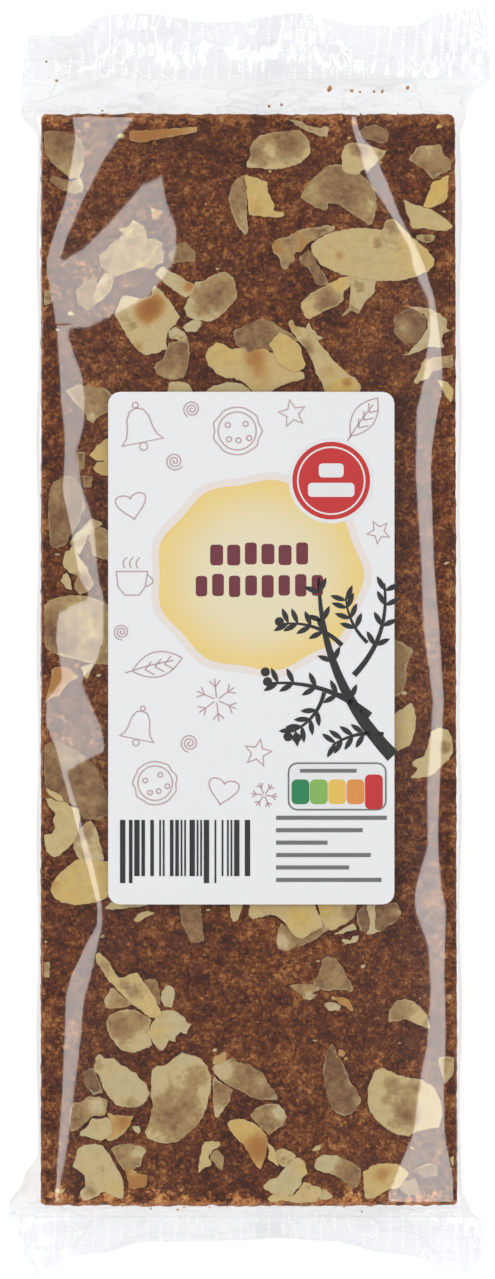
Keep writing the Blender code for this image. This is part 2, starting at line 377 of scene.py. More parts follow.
def panel(name, place, size, glow, target=(0.0, 0.0, 0.0)):
    """A rectangular light whose surface glows as bright as glow times white."""
    data = bpy.data.lights.new(name, "AREA")
    data.shape = "RECTANGLE"
    data.size, data.size_y = size
    data.energy = glow * math.pi * size[0] * size[1]
    light = bpy.data.objects.new(name, data)
    light.location = place
    aim = Vector(target) - Vector(place)
    light.rotation_euler = aim.to_track_quat("-Z", "Y").to_euler()
    light.visible_camera = False
    bpy.context.scene.collection.objects.link(light)
    print(name, "glows", glow)


for name, x, glow in STRIPS:
    panel(name, (x, 0, STRIP_Z), STRIP_SIZE, glow, (x, 0, 0))
for soft_light in SOFT_LIGHTS:
    panel(*soft_light)

studio = Recipe("studio", world=True)
direction = studio.add("ShaderNodeTexCoord")["Generated"]
upward = studio.add("ShaderNodeSeparateXYZ", None, {0: direction})["Z"]
sky_glow = WALLS + upward.step(*DIM_CONE) * (OVERHEAD - WALLS)
sky_glow = HORIZON + (sky_glow - HORIZON) * upward.step(*HORIZON_BAND)
sky = studio.add("ShaderNodeBackground", None, {"Color": SKY_TINT, "Strength": sky_glow})
bpy.context.scene.world = studio.finished(sky["Background"])
bpy.context.scene.view_settings.view_transform = "Standard"

nothing_selected()
bpy.ops.mesh.primitive_plane_add(size=6.0, location=(0.0, 0.0, FLOOR_Z))
floor = started("floor")
bpy.ops.object.transform_apply(location=True)
light_table = Recipe("light_table")
milky = light_table.coat({
    "Base Color": (FLOOR_GREY,) * 3,
    "Roughness": 0.7,
    "Emission Color": (1.0, 1.0, 1.0),
    "Emission Strength": FLOOR_GLOW,
})
floor.data.materials.append(light_table.finished(milky))


# %% [markdown]
# ## The biscuit
#
# Speculaas is baked from a coarse, sugary dough, so its top is a crust of grains under a
# millimetre wide, and its broken edges are paler and crumbly. A plain box could carry that as
# bump alone, but the edge would stay a ruled line. So a bevelled box is remeshed into even
# small cells and pushed in and out by noise, most of all along the edges.

# %% Slab of baked dough
DOUGH_CELL = 0.85
BEVEL = 0.8
CRUST = 0.22
LUMPS = 0.18
TOP_LAYER = 1.6
RIM = 1.5
EDGE_CRUMBLE = 0.12
SET_BACK = 0.3
TAPER = 0.45

nothing_selected()
bpy.ops.mesh.primitive_cube_add(size=1.0)
bar = started("speculaas_bar")
bar.scale = (BAR_WIDTH * MM, BAR_LENGTH * MM, (BAR_TOP - BAR_BOTTOM) * MM)
bar.location = (0.0, BAR_Y * MM, (BAR_TOP + BAR_BOTTOM) / 2 * MM)
bpy.ops.object.transform_apply(location=True, rotation=True, scale=True)
edited(bar, (bpy.ops.mesh.bevel, {"offset": BEVEL * MM, "segments": 3, "affect": "EDGES"}))
applied(bar, "REMESH", mode="VOXEL", voxel_size=DOUGH_CELL * MM)


def crumbled(corner):
    """A surface point of the dough, moved by its grain and by how near an edge it is."""
    x = corner.x / MM
    y = corner.y / MM - BAR_Y
    z = corner.z / MM
    rim = max(abs(x) - BAR_WIDTH / 2 + RIM, abs(y) - BAR_LENGTH / 2 + RIM, 0.0)
    grain = wave(x * 0.75, y * 0.75, z * 0.75) + 0.6 * wave(x * 1.6, y * 1.6, z * 1.6 + 9)
    out = CRUST * grain + LUMPS * wave(x * 0.12, y * 0.12, z * 0.12 + 3)
    ragged = EDGE_CRUMBLE * min(rim, RIM) * wave(x * 0.6, y * 0.6, z * 0.3 + 5)
    push = Vector((0.0, 0.0, out - crown(x) if z > BAR_TOP - TOP_LAYER else 0.0))
    if abs(x) > BAR_WIDTH / 2 - RIM:
        push.x += math.copysign(0.5 * out + ragged - SET_BACK, x)
    if abs(y) > BAR_LENGTH / 2 - RIM:
        push.y += math.copysign(out + ragged * 2 - SET_BACK, y)
    push.x -= TAPER * clamp(y / BAR_LENGTH + 0.5) * clamp(x / BAR_WIDTH * 2)
    return corner + push * MM


for vertex in bar.data.vertices:
    vertex.co = crumbled(vertex.co)
smooth_faces(bar)
print(len(bar.data.vertices), "points in the slab")

# %% [markdown]
# The crust's colour comes from noises of several sizes: blotches of two or three millimetres,
# the grains of sugar and flour that baked golden, a darker red-brown dough between them, and
# slow patches of more or less browning. Cells with uneven borders set single crumbs apart, and
# three stains lie over them all: plum, burnt and golden. Position decides where the paler, orange
# crumb of the broken edges shows: along the upper edges, and most of all at the near end.

# %% Baked dough
BLOTCH_SCALE = 300
GRAIN_SCALE = 780
FLECK_SCALE = 1900
PATCH_SCALE = 60
CELL_SCALE = 1350.0
SHIFT_SCALE = 700.0
CELL_SHIFT = (0.0012, 0.0012, 0.0012)
# Stains: scale, detail and roughness of the noise, where it sets in, its share and its colour
STAINS = (
    (260, 2.0, 0.5, (0.48, 0.66), 0.4, (96, 48, 38)),
    (520, 3.0, 0.6, (0.6, 0.68), 0.42, (66, 34, 26)),
    (950, 2.0, 0.55, (0.6, 0.68), 0.4, (190, 124, 62)),
)
DOUGH_BUMP = 0.0005

dough = Recipe("baked_dough")
spot = dough.place()
blotches = dough.grain(spot, BLOTCH_SCALE, 3.0, 0.6)
grains = dough.grain(spot, GRAIN_SCALE, 4.0, 0.65)
flecks = dough.grain(spot, FLECK_SCALE, 2.0, 0.6)
patches = dough.grain(spot, PATCH_SCALE, 3.0, 0.55)
shifting = {"Vector": spot, "Scale": SHIFT_SCALE, "Detail": 2.0}
shift = dough.add("ShaderNodeTexNoise", None, shifting)["Color"]
shifted = {0: shift, 1: CELL_SHIFT, 2: spot}
uneven = dough.add("ShaderNodeVectorMath", {"operation": "MULTIPLY_ADD"}, shifted)["Vector"]
cell_tint = dough.add("ShaderNodeTexVoronoi", None, {"Vector": uneven, "Scale": CELL_SCALE})["Color"]
cells = dough.add("ShaderNodeSeparateColor", None, {0: cell_tint})["Red"]
mottle = (blotches - 0.5) * 0.52 + (grains - 0.5) * 0.36 + (flecks - 0.5) * 0.54
mottle = mottle + (cells - 0.5) * 0.15 + patches * 0.22 + 0.378
crust = dough.ramp(
    mottle,
    (0.34, (70, 34, 22)),
    (0.43, (98, 49, 25)),
    (0.52, (124, 65, 32)),
    (0.61, (158, 94, 48)),
    (0.72, (206, 146, 84)),
)
crumb = dough.ramp(mottle, (0.36, (142, 74, 30)), (0.50, (208, 126, 62)), (0.64, (244, 184, 116)))

axes = dough.add("ShaderNodeSeparateXYZ", None, {0: spot})
wobble = (grains - 0.5) * 0.008 + (blotches - 0.5) * 0.006
across = abs(axes["X"]) + wobble
along = abs(axes["Y"] - BAR_Y * MM) + wobble
side_rim = across.step((BAR_WIDTH / 2 - 1.2) * MM, (BAR_WIDTH / 2 + 0.2) * MM)
end_rim = along.step((BAR_LENGTH / 2 - 1.9) * MM, (BAR_LENGTH / 2 - 0.8) * MM)
upper = axes["Z"].step((BAR_TOP - 6) * MM, (BAR_TOP - 1) * MM) * 0.65 + 0.35
near_end = axes["Y"].step(0.0, -0.01) * 0.7 + 0.45
rim_share = (end_rim * upper * near_end + side_rim * 0.3).held()
surface = dough.colours(rim_share, crust, crumb)
for scale, detail, rough, limits, share, colour in STAINS:
    stain = dough.grain(spot, scale, detail, rough).step(*limits)
    surface = dough.colours(stain * share, surface, linear(*colour))
height = grains * 0.4 + flecks * 0.3 + blotches * 0.4
baked = dough.coat({
    "Base Color": surface,
    "Roughness": 0.8 - flecks * 0.25,
    "Normal": dough.bump(height, 1.0, DOUGH_BUMP),
    "Specular IOR Level": 0.15,
})
hand_over(bar, dough.finished(baked), "filmed_biscuit")

# %% [markdown]
# ## Almond flakes
#
# A flaked almond is a thin slice across the nut: an oval about half a millimetre thick, often
# snapped or ragged on one side. Where syrup has soaked in, it turns clear and brown, and where
# the oven caught it, it is toasted. No two are alike, so each is cut to its own outline, as one
# would cut paper, and filled with small triangles that can bend and carry its colours. An oval
# primitive could not be snapped like this, so the outlines are filled by Blender's own
# triangulation. The flakes that overlap lie at different levels.

# %% Outlines of the larger flakes
# Each row: level, soaked, toasted, yellow, outline in mm from the bar's middle, then spots as
# what, x, y, radius and amount.
SOAK, TOAST, YELLOW = 0, 1, 2
FLAKES = (
    (0, 0.35, 0.0, 0.45, ((-38.1, 98), (-36.7, 98.2), (-34.4, 97.9), (-32.1, 97.3), (-31.1, 96.2),
     (-30.6, 94.7), (-30.6, 92.8), (-31.1, 90.5), (-31.7, 89.3), (-33.2, 89.2), (-35.1, 90.8),
     (-36.7, 92.4), (-37.8, 94.1), (-38.1, 95.8)), (SOAK, -35, 97, 4.5, 0.55)),
    (0, 0.3, 0.0, 0.1, ((-36.7, 89.9), (-35.1, 89.5), (-33.2, 88.7), (-31.1, 89.6), (-30.7, 88.2),
     (-31.1, 86.8), (-32.5, 86.5), (-33.6, 86.8), (-35.2, 87.4), (-37, 88.9)), (SOAK, -36, 88.6, 3, 0.7)),
    (0, 0.0, 0.5, 0.5, ((-22.1, 98.1), (-17.5, 98.3), (-12.1, 98.6), (-9.6, 98.8), (-9.6, 98.1),
     (-11.3, 97.5), (-14, 97.2), (-16.3, 96.6), (-19.4, 96), (-21.7, 96.2), (-22.5, 97.3)),
     (TOAST, -18, 97.5, 4, 0.4)),
    (1, 0.4, 0.0, 0.4, ((-24.4, 80), (-22.8, 80.1), (-21.4, 81.6), (-20.5, 81), (-19.6, 80.3), (-19, 78.9),
     (-19.1, 78.2), (-17.5, 77.8), (-16.2, 77.4), (-16.4, 76.4), (-15.7, 75.5), (-15.9, 73.9),
     (-16.9, 73.3), (-18, 72.6), (-20, 72.7), (-22.9, 71.8), (-25.2, 71), (-26, 72), (-25.5, 74),
     (-24.5, 76.5), (-24.2, 78.2), (-23.3, 79)), (YELLOW, -19.5, 75.3, 3, 0.5)),
    (0, 0.5, 0.0, 0.1, ((-27.8, 75.1), (-26, 76.6), (-24.7, 78), (-23.6, 77.6), (-22, 75), (-22, 72.5),
     (-25, 71.2), (-26.5, 72), (-27.5, 73))),
    (0, 0.0, 0.55, 0.2, ((-18.3, 83.7), (-15.8, 83.2), (-17, 82), (-17.8, 81.6))),
    (0, 0.75, 0.0, 0.3, ((-13, 77.3), (-11.7, 77.5), (-10.1, 75.7), (-10, 74), (-11.5, 73.8), (-14, 73.5),
     (-15, 75))),
    (1, 0.05, 0.0, 0.15, ((-17.5, 71.7), (-15.9, 73.1), (-15, 72.1), (-13.6, 71.7), (-11.7, 70.4),
     (-10, 69.6), (-10.2, 68.5), (-11.5, 67.1), (-12.5, 67.5), (-14.4, 68.8), (-15.9, 70.2)),
     (TOAST, -11.2, 69.2, 1.2, 0.8)),
    (0, 0.1, 0.0, 0.1, ((-10, 70), (-8.2, 70.4), (-7, 71.2), (-5.5, 71.7), (-4.4, 71.9), (-3, 71),
     (-2.4, 69), (-2.2, 67), (-3.6, 65.5), (-5.2, 63.9), (-7, 62.8), (-9.8, 63), (-11.7, 63.9),
     (-12.1, 65.2), (-11.3, 66.9), (-10.5, 68.5)), (SOAK, -5.6, 68, 3, 0.75), (SOAK, -8.5, 66, 1.5, 0.4)),
    (0, 0.0, 0.0, 0.25, ((-23.3, 67.5), (-22.1, 67.5), (-19.8, 66.9), (-18.2, 67.5), (-17.5, 69.6),
     (-15.9, 68.1), (-14.4, 66.2), (-12.8, 63.5), (-14, 61.9), (-15.2, 60.8), (-15.3, 57.7),
     (-16.7, 57.1), (-18.6, 56.5), (-20, 56.9), (-20.9, 57.9), (-22.1, 59), (-23.2, 61.2),
     (-24.4, 63.1), (-25.1, 64), (-24.2, 65.8)), (TOAST, -18.8, 64.6, 2.3, 1.0),
     (TOAST, -20.5, 58, 1.2, 0.6), (SOAK, -21.8, 62.5, 2, 0.35), (TOAST, -17, 66.5, 1.6, 0.5)),
    (0, 0.8, 0.0, 0.1, ((-15, 58.8), (-12.8, 59.2), (-11.3, 59.6), (-11, 56.9), (-11.3, 54.6),
     (-12.1, 52.5), (-13.6, 52), (-15.5, 52.2), (-17.1, 53.1), (-17.7, 54.2), (-17.1, 55.2),
     (-15.9, 55.8), (-15.3, 57.3)), (SOAK, -14.8, 52.8, 1.6, -0.4)),
    (0, 0.25, 0.0, 0.0, ((-15, 61), (-13.5, 61.8), (-12.2, 60.8), (-11.3, 60), (-12, 59), (-13.5, 59.3),
     (-15, 60))),
    (0, 0.15, 0.0, 0.0, ((-12.5, 61.7), (-10.5, 63), (-8.6, 62.8), (-9.5, 61), (-11.5, 60.8))),
    (1, 0.4, 0.0, 0.2, ((-28.4, 66), (-28.9, 67.5), (-28.2, 69.2), (-27.8, 70.4), (-26.5, 72.1),
     (-25.3, 71), (-25.1, 70), (-25.7, 68.3), (-27.3, 66.7))),
    (0, 0.7, 0.0, 0.1, ((-32, 68.5), (-29.8, 70.6), (-28.1, 70.8), (-28.2, 67.7), (-28.4, 65.9),
     (-30.3, 64.9), (-31.9, 66.3))),
    (0, 0.7, 0.0, 0.4, ((-38.1, 68.7), (-36.9, 68.7), (-36.4, 66.8), (-37.4, 65.8), (-38.1, 66.1))),
    (0, 0.0, 0.05, 0.45, ((-8, 56.5), (-7.5, 57.7), (-6.3, 58.7), (-4.8, 58.7), (-3.5, 57.6), (-1.5, 57.9),
     (0, 57.5), (3, 57.7), (3.6, 57), (4.6, 57.1), (6, 56), (8, 54), (10.2, 53.4), (10.3, 52.2),
     (9.5, 51.9), (7.8, 51.7), (6.5, 51), (5, 50.4), (4, 49.4), (1, 49.4), (0, 50.3), (-1, 51.5),
     (-3, 52.3), (-4.4, 52.3), (-6.3, 53.5), (-7.5, 54.6)), (TOAST, 1.2, 56.3, 2.2, 0.6),
     (TOAST, 2, 52.6, 3, 0.35), (YELLOW, -5, 56.5, 2.5, 0.3)),
    (2, 0.0, 0.0, 0.75, ((3.5, 58.5), (4.7, 59.8), (5.6, 60.7), (7, 60.2), (8.5, 59), (9.8, 57.9),
     (9.7, 56.5), (10.6, 54.8), (9.9, 53.8), (8.5, 53.4), (7, 53.9), (5.6, 55), (4.5, 56.5),
     (4.3, 57.5)), (TOAST, 7.6, 59, 1.3, 0.2)),
    (0, 0.85, 0.0, 0.2, ((2, 63.3), (4, 62.9), (5.9, 61.5), (8.2, 60.2), (9.1, 59.2), (7, 58), (3, 57),
     (0, 57), (-2.5, 58.5), (-3, 61), (-0.5, 62)), (SOAK, 6.2, 61.3, 1.6, -0.45)),
    (1, 0.1, 0.1, 0.3, ((7.3, 62.8), (8.1, 63.1), (8.6, 61.9), (10.1, 61.7), (11, 61), (12.4, 59.6),
     (13.9, 57.7), (16.2, 55), (18.5, 53.1), (20.1, 51.9), (20.8, 50.4), (20.5, 49.4), (13.9, 49.4),
     (13.7, 51.2), (12.4, 53.1), (12, 54.6), (11.6, 55.8), (10.5, 57.7), (8.9, 59.6), (7.6, 61.5)),
     (SOAK, 10.6, 57.6, 1.3, 0.8), (TOAST, 8.2, 62, 1.2, 0.5), (TOAST, 14.6, 53.6, 1.6, 0.3)),
    (2, 0.0, 0.1, 0.9, ((13.9, 49.4), (14.1, 50.6), (15.5, 51.8), (17.5, 52.3), (19, 52.3), (20, 51.3),
     (20.8, 50.3), (20.4, 49.4)), (TOAST, 18.2, 51.5, 1, 0.7)),
    (0, 0.1, 0.0, 0.0, ((10.5, 61.5), (11.2, 62.9), (11.4, 61.7), (12.6, 60.4), (13.9, 59.6), (12.4, 59.3),
     (11.6, 60.2))),
    (0, 0.1, 0.1, 0.5, ((9.5, 65.8), (10.5, 67.3), (12.4, 68.6), (14.7, 69.6), (17, 70.8), (18.7, 71.3),
     (18.8, 69.2), (17.4, 68.5), (17.6, 66.9), (16.2, 65.6), (14.3, 64.8), (12.4, 63.8), (11.2, 63.2),
     (10.3, 63.8), (9.9, 64.8)), (SOAK, 14.6, 66.7, 2.2, 0.7), (YELLOW, 16.5, 69.8, 1.6, 0.4)),
    (0, 0.15, 0.0, 0.25, ((18.7, 71.3), (20.8, 71.2), (23.5, 70.6), (23.2, 68.1), (21.6, 66.5), (20.1, 64),
     (19.1, 64.8), (17.8, 63.8), (17, 63.8), (18.5, 65.4), (18.8, 68.8)), (SOAK, 20.4, 69, 1.2, 0.5),
     (SOAK, 18.4, 64.6, 1.5, 0.6)),
    (0, 0.25, 0.0, 0.1, ((29.5, 65.4), (31.6, 65.4), (33.9, 65), (35.6, 64), (36.6, 63.1), (36.6, 61.7),
     (37.4, 61), (36.2, 60.6), (35.6, 59.6), (36.2, 58.1), (34.9, 57.9), (33.2, 58.1), (31.6, 57.3),
     (30.1, 56.7), (28.5, 56.5), (30.1, 57.3), (31.2, 58.8), (32, 60), (33, 61.5), (33.3, 63.1),
     (32.4, 64.2), (30.8, 64.9))),
    (0, 0.9, 0.0, 0.1, ((27, 63.5), (29, 65), (31.5, 64.9), (33, 63.2), (32.6, 61), (31, 58.8), (28.8, 58.6),
     (27, 60.5)), (SOAK, 28.5, 61.5, 1.0, -0.5)),
    (0, 0.4, 0.0, 0.4, ((30.5, 51.3), (31.2, 53.1), (32, 55), (32.8, 55.8), (34.9, 56.2), (37.8, 56.6),
     (37.8, 54.4), (35.5, 54), (34, 53.5), (33, 52), (32, 51.9), (31.2, 51.2)), (SOAK, 31.5, 53.5, 2, -0.4)),
    (0, 0.1, 0.05, 0.5, ((34.9, 51.9), (36.6, 51.7), (37.7, 50.4), (37.8, 48.5), (37.4, 47.7), (36.2, 49.2),
     (35.5, 50.8))),
    (1, 0.85, 0.1, 0.2, ((20.3, 98.2), (21.6, 98.9), (23.5, 99.1), (25.5, 98.5), (26, 97.4), (25.7, 96.2),
     (24.3, 95.7), (23.5, 96.2), (22, 96.5), (20.6, 97))),
    (1, 0.0, 0.0, 0.3, ((17.2, 94.3), (17.8, 95.3), (18.9, 96), (20.1, 95.8), (21.6, 95.6), (23.5, 94.9),
     (25.6, 94.4), (24.7, 93.3), (23.9, 92.4), (22.8, 91.2), (20.8, 90.8), (20.5, 90.1), (18.9, 90),
     (17.4, 90.5), (17.2, 91.4), (17.4, 92.2), (17.1, 93.2)), (SOAK, 20.6, 95, 1.9, 0.7),
     (TOAST, 22.5, 94, 1.8, 0.45), (SOAK, 24.2, 93.8, 1.3, 0.4)),
    (0, 0.1, 0.0, 0.35, ((-0.5, 91.9), (0.1, 93.1), (0.3, 95.5), (1.2, 96.4), (2, 97.2), (4.7, 97.8),
     (7.4, 98), (9.3, 98.3), (10.1, 97.4), (11, 96.2), (11.5, 94.9), (11.2, 93.5), (9.7, 92.2),
     (7.4, 91.3), (4.7, 91), (2, 91.2), (-0.3, 91.3)), (SOAK, 1.6, 94, 2, 0.7), (SOAK, 7, 96, 3, 0.85),
     (SOAK, 3.3, 94.4, 1.1, -0.6)),
    (0, 0.45, 0.0, 0.1, ((7.4, 100.3), (9.7, 99.9), (10.8, 99.1), (13.2, 98.5), (13.9, 98.9), (14.8, 98.8),
     (14.5, 96.8), (13.5, 97), (12, 97.6), (10.5, 98.1), (8.5, 99.3)), (SOAK, 14, 97.8, 1.2, -0.3)),
    (0, 0.62, 0.0, 0.25, ((9.6, 85.8), (10.3, 87.4), (11.2, 88.7), (12.8, 90.3), (14.7, 91.6), (16.2, 91.9),
     (18.2, 91.6), (20.1, 90.5), (21.6, 89.3), (23.2, 87.6), (23.6, 85.5), (23.5, 83.5), (23.2, 82),
     (22.7, 80.5), (22, 80.8), (20.1, 82), (18.5, 83.2), (17, 84.3), (15.8, 84.7), (14.7, 84.7),
     (14.5, 83.5), (13.9, 83.3), (12.4, 83.9), (10.3, 85.2)), (SOAK, 18, 87, 2.5, 0.25),
     (SOAK, 22.3, 84, 2, -0.3), (SOAK, 12, 86.5, 2, -0.25)),
    (0, 0.65, 0.0, 0.1, ((-0.7, 89.9), (-0.4, 84), (-0.1, 79.3), (-0.7, 78.7), (-2.2, 80.5), (-3.2, 83),
     (-3.8, 85.3), (-3.4, 87.7), (-2.3, 89.3)), (SOAK, -1.2, 80.3, 2, -0.4)),
    (1, 0.0, 0.05, 0.75, ((-0.9, 89.8), (1.2, 89.5), (3.3, 88.5), (3.5, 86.6), (4.3, 85.1), (4.7, 84.3),
     (4.3, 83.5), (5.3, 83.1), (6.4, 83.1), (6.5, 82.2), (5.6, 81.9), (3.2, 82.2), (-0.1, 82.4),
     (-0.3, 84.7), (-0.5, 87.4)), (TOAST, 1.5, 83.5, 2.2, 0.3)),
    (0, 0.6, 0.0, 0.2, ((29.5, 92.8), (30.8, 94.3), (30.8, 95.1), (32.8, 95.5), (35.5, 95.6), (35.8, 95.1),
     (35.8, 93.9), (37, 93), (37.7, 92.2), (37.4, 91), (35.8, 90.3), (34.7, 89.5), (33.9, 89.3),
     (33.2, 90.1), (32.4, 91), (30.8, 92)), (SOAK, 33, 95, 1.6, -0.35)),
    (1, 0.0, 0.15, 1.0, ((33.3, 86.6), (34.1, 88.7), (35.5, 88.9), (35.8, 89.5), (37.2, 89.9), (36.8, 87.8),
     (36.8, 86.2), (36.2, 84.9), (34.7, 84.3), (33.5, 83.9), (32.3, 83.9))),
    (0, 0.08, 0.0, 0.4, ((28.5, 85.4), (30.5, 84.5), (33.9, 83.5), (35.8, 82.4), (37.7, 80.5), (37.4, 79.9),
     (35.5, 79.6), (32.4, 80.1), (30, 80.1), (29.7, 82), (28.9, 83.9))),
    (2, 0.2, 0.0, 0.2, ((24.3, 77.4), (24.5, 79.3), (25.5, 81.6), (27, 81.8), (29.3, 79.3), (30.8, 77.4),
     (31.2, 75.5), (30.1, 75.1), (28.5, 75.3), (26.6, 76.2), (25.3, 76.6)), (YELLOW, 29, 77, 2, 0.6),
     (SOAK, 26, 80.5, 1.5, 0.3)),
    (1, 0.0, 0.0, 0.35, ((11.8, 75.5), (11.5, 76.6), (12.4, 77.8), (14.3, 78.9), (17, 79.7), (20.1, 80.1),
     (23.9, 79.9), (27.5, 79), (30.8, 78.1), (33.2, 75.8), (34.3, 74.3), (34.3, 73), (32.8, 71.9),
     (30.1, 70.8), (27, 70.3), (23.9, 70.3), (20.1, 70.8), (17.8, 71.3), (15.5, 72.1), (13.5, 73.1),
     (12.4, 74.4)), (TOAST, 16.8, 75, 1.1, 0.55), (SOAK, 23.8, 77.3, 1.4, 0.5), (YELLOW, 32, 74, 3, 0.4),
     (TOAST, 14.8, 76.8, 0.9, 0.4)),
    (0, 0.15, 0.65, 0.4, ((4.3, 76.8), (4.7, 77.8), (7.4, 78.7), (9.7, 79.9), (12.4, 80.1), (14.3, 80.6),
     (16, 80.5), (16, 79.7), (13.9, 78.9), (12, 77.8), (10.5, 77), (9.7, 75.5), (8.5, 75.8),
     (8.3, 75.1), (8.5, 74.1), (7.4, 73.3), (6.8, 72.2), (5.7, 73.3), (5.7, 74.3), (4.5, 75.5)),
     (SOAK, 13, 79.6, 2.2, 0.6), (SOAK, 7.2, 77.8, 1, 0.6), (SOAK, 7, 73.6, 1.3, 0.5)),
    (0, 0.85, 0.1, 0.2, ((9.2, 74.5), (11, 76), (12, 75.5), (12.5, 73.5), (14, 71.5), (15, 69.5),
     (12.5, 69.5), (11.8, 71), (11, 72.6), (9.8, 73.3))),
    (0, 0.7, 0.0, 0.7, ((31, 78.9), (33, 79), (34.5, 78.8), (34.3, 77.9), (32.8, 77.2), (31, 78))),
    (0, 0.0, 0.0, 0.2, ((-26.7, -46.1), (-25.7, -45), (-24, -45), (-19, -45), (-18.9, -45.6), (-22, -45.9),
     (-25, -46.3))),
    (0, 0.0, 0.4, 0.3, ((-21.4, -48), (-20.5, -47), (-19, -46.5), (-17.5, -46.7), (-17.7, -47.3),
     (-19, -47.5), (-20.2, -48.4), (-21, -48.7)), (TOAST, -19.3, -47, 1.2, -0.4)),
    (0, 0.85, 0.2, 0.2, ((-12.8, -45), (-9, -45), (-8.8, -48.8), (-8.2, -52), (-9.2, -52.4), (-10.7, -52.4),
     (-11.5, -50.9), (-12.5, -48.8), (-12.9, -46.8))),
    (1, 0.1, 0.0, 0.5, ((-28.5, -54.7), (-27.8, -54.2), (-26.7, -55.1), (-25.7, -56.5), (-24.6, -58.4),
     (-23.6, -59), (-22.1, -58.2), (-20.9, -57.8), (-19.8, -59.2), (-18.6, -60.9), (-17.5, -62.6),
     (-16.7, -64.2), (-16.3, -65.7), (-17.5, -66.5), (-18.6, -66.1), (-20.2, -64.9), (-22.1, -63.4),
     (-23.6, -61.8), (-24.8, -60.7), (-26.3, -59.2), (-27.5, -57.2), (-28.2, -55.9)),
     (SOAK, -21.2, -61.3, 1.5, 0.5), (SOAK, -27, -56, 2, 0.25), (SOAK, -23.3, -60.2, 1, 0.4)),
    (0, 0.75, 0.0, 0.2, ((-19.5, -59.3), (-18.2, -59), (-17.2, -59.4), (-16.6, -61.5), (-16.4, -64.3),
     (-17.8, -63), (-19, -61))),
    (0, 0.35, 0.0, 0.1, ((-26.8, -62.6), (-25.7, -60.9), (-25, -60.7), (-23.6, -62.2), (-21.5, -63.8),
     (-23.6, -64.5), (-25.2, -64.7), (-26.7, -64.4)), (SOAK, -23.5, -63.5, 1.5, 0.3)),
    (0, 0.08, 0.0, 0.0, ((-16.2, -61.7), (-15.5, -60.7), (-15, -60.3), (-13.8, -60.8), (-13.8, -62.2),
     (-14.2, -64.4), (-15.9, -64.2), (-16.3, -63))),
    (0, 0.15, 0.0, 0.25, ((-26.5, -66.8), (-25.7, -65.7), (-24.4, -65.2), (-22.9, -64.9), (-20.9, -64.9),
     (-19, -66.1), (-18.2, -66.8), (-18.6, -69.2), (-17.8, -71.3), (-19, -72), (-20.9, -72.7),
     (-22.8, -72.6), (-24.4, -71.7), (-25.7, -69.9), (-26.3, -68.4)), (SOAK, -23.8, -67.4, 2.3, 0.75),
     (TOAST, -21.3, -66.6, 0.9, 1.0), (SOAK, -20, -66.5, 1.5, 0.5)),
    (1, 0.05, 0.0, 0.1, ((-18.6, -69.5), (-18.4, -68), (-17.5, -66.5), (-16.7, -65.3), (-15.2, -65),
     (-13.6, -65.1), (-12.1, -66.1), (-11.5, -67.2), (-10.8, -67.6), (-11.5, -68.6), (-11.6, -69.5),
     (-12.8, -68.8), (-13.6, -69.9), (-13.6, -70.9), (-15, -70.3), (-15.2, -71.5), (-16.3, -72.5),
     (-17.5, -71.5), (-18, -70.5)), (YELLOW, -17.2, -68.6, 1.6, 0.5)),
    (0, 0.5, 0.0, 0.0, ((-38.1, -56.1), (-37.1, -55.9), (-36.9, -58.8), (-38.1, -59.1))),
    (0, 0.0, 0.0, 0.3, ((-3.5, -45), (-1.2, -45), (-1.5, -46.7), (-2.2, -48.2), (-3, -48.6), (-3.5, -47.5))),
    (1, 0.0, 0.0, 0.35, ((0.1, -45), (-0.1, -47.4), (0.7, -48.1), (2, -47.7), (3.9, -47.2), (5.7, -47.7),
     (7, -49.2), (8.2, -50.9), (9.5, -51.8), (10.5, -51.3), (12, -50.3), (13.7, -49.5), (13.5, -48),
     (12.6, -46.5), (12, -45)), (YELLOW, 9.3, -47.8, 2.2, 0.6), (SOAK, 3.5, -46, 2, 0.15)),
    (0, 0.7, 0.1, 0.1, ((6, -48.8), (5.3, -50.3), (5.1, -52.2), (5.5, -53.6), (6.6, -54), (8.2, -53.4),
     (10.1, -52.8), (12.4, -51.7), (14.3, -50.3), (15.1, -49.7), (13.7, -49.3), (9.5, -50.5),
     (7.5, -49.5)), (SOAK, 5.9, -52, 1.3, -0.75)),
    (0, 0.0, 0.0, 0.35, ((12.6, -45), (20.1, -45), (19.7, -47.2), (18.5, -48.4), (17, -49.3), (15.5, -50.1),
     (14.5, -50), (13.9, -49.3), (13.3, -47.6)), (YELLOW, 13.8, -46.4, 1.2, 0.7), (SOAK, 19, -46.5, 2, 0.55),
     (TOAST, 14.8, -47, 1, 0.3)),
    (0, 0.0, 0.0, 0.1, ((15.8, -50.9), (17, -49.9), (19.5, -48.8), (20, -49.9), (18.5, -50.3),
     (16.6, -50.9))),
    (0, 0.05, 0.0, 0.0, ((17, -51.8), (18.2, -51.7), (18.5, -52.2), (19.1, -51.3), (20.5, -51),
     (19.9, -52.4), (18.3, -52.6), (18, -52.9))),
    (0, 0.9, 0.0, 0.0, ((20, -46.8), (21.5, -45), (24.7, -45), (27.4, -45), (28.2, -46.8), (27.4, -48.4),
     (24.7, -50.1), (22, -51), (20.5, -50), (20, -48.5)), (SOAK, 28, -46.8, 0.7, -0.6)),
    (1, 0.2, 0.0, 0.1, ((22, -45), (23.5, -45), (23.4, -49.9), (24.5, -50.3), (21.6, -51), (22.2, -50.1),
     (22.4, -47.6), (21.8, -46.5))),
    (0, 0.75, 0.0, 0.1, ((13.7, -55.3), (14.7, -54.9), (16.2, -55.5), (17.4, -57.2), (18.5, -59.2),
     (19.4, -60.7), (19.1, -61.5), (17.8, -61.1), (15.5, -61.1), (14.7, -61.5), (12.4, -60.7),
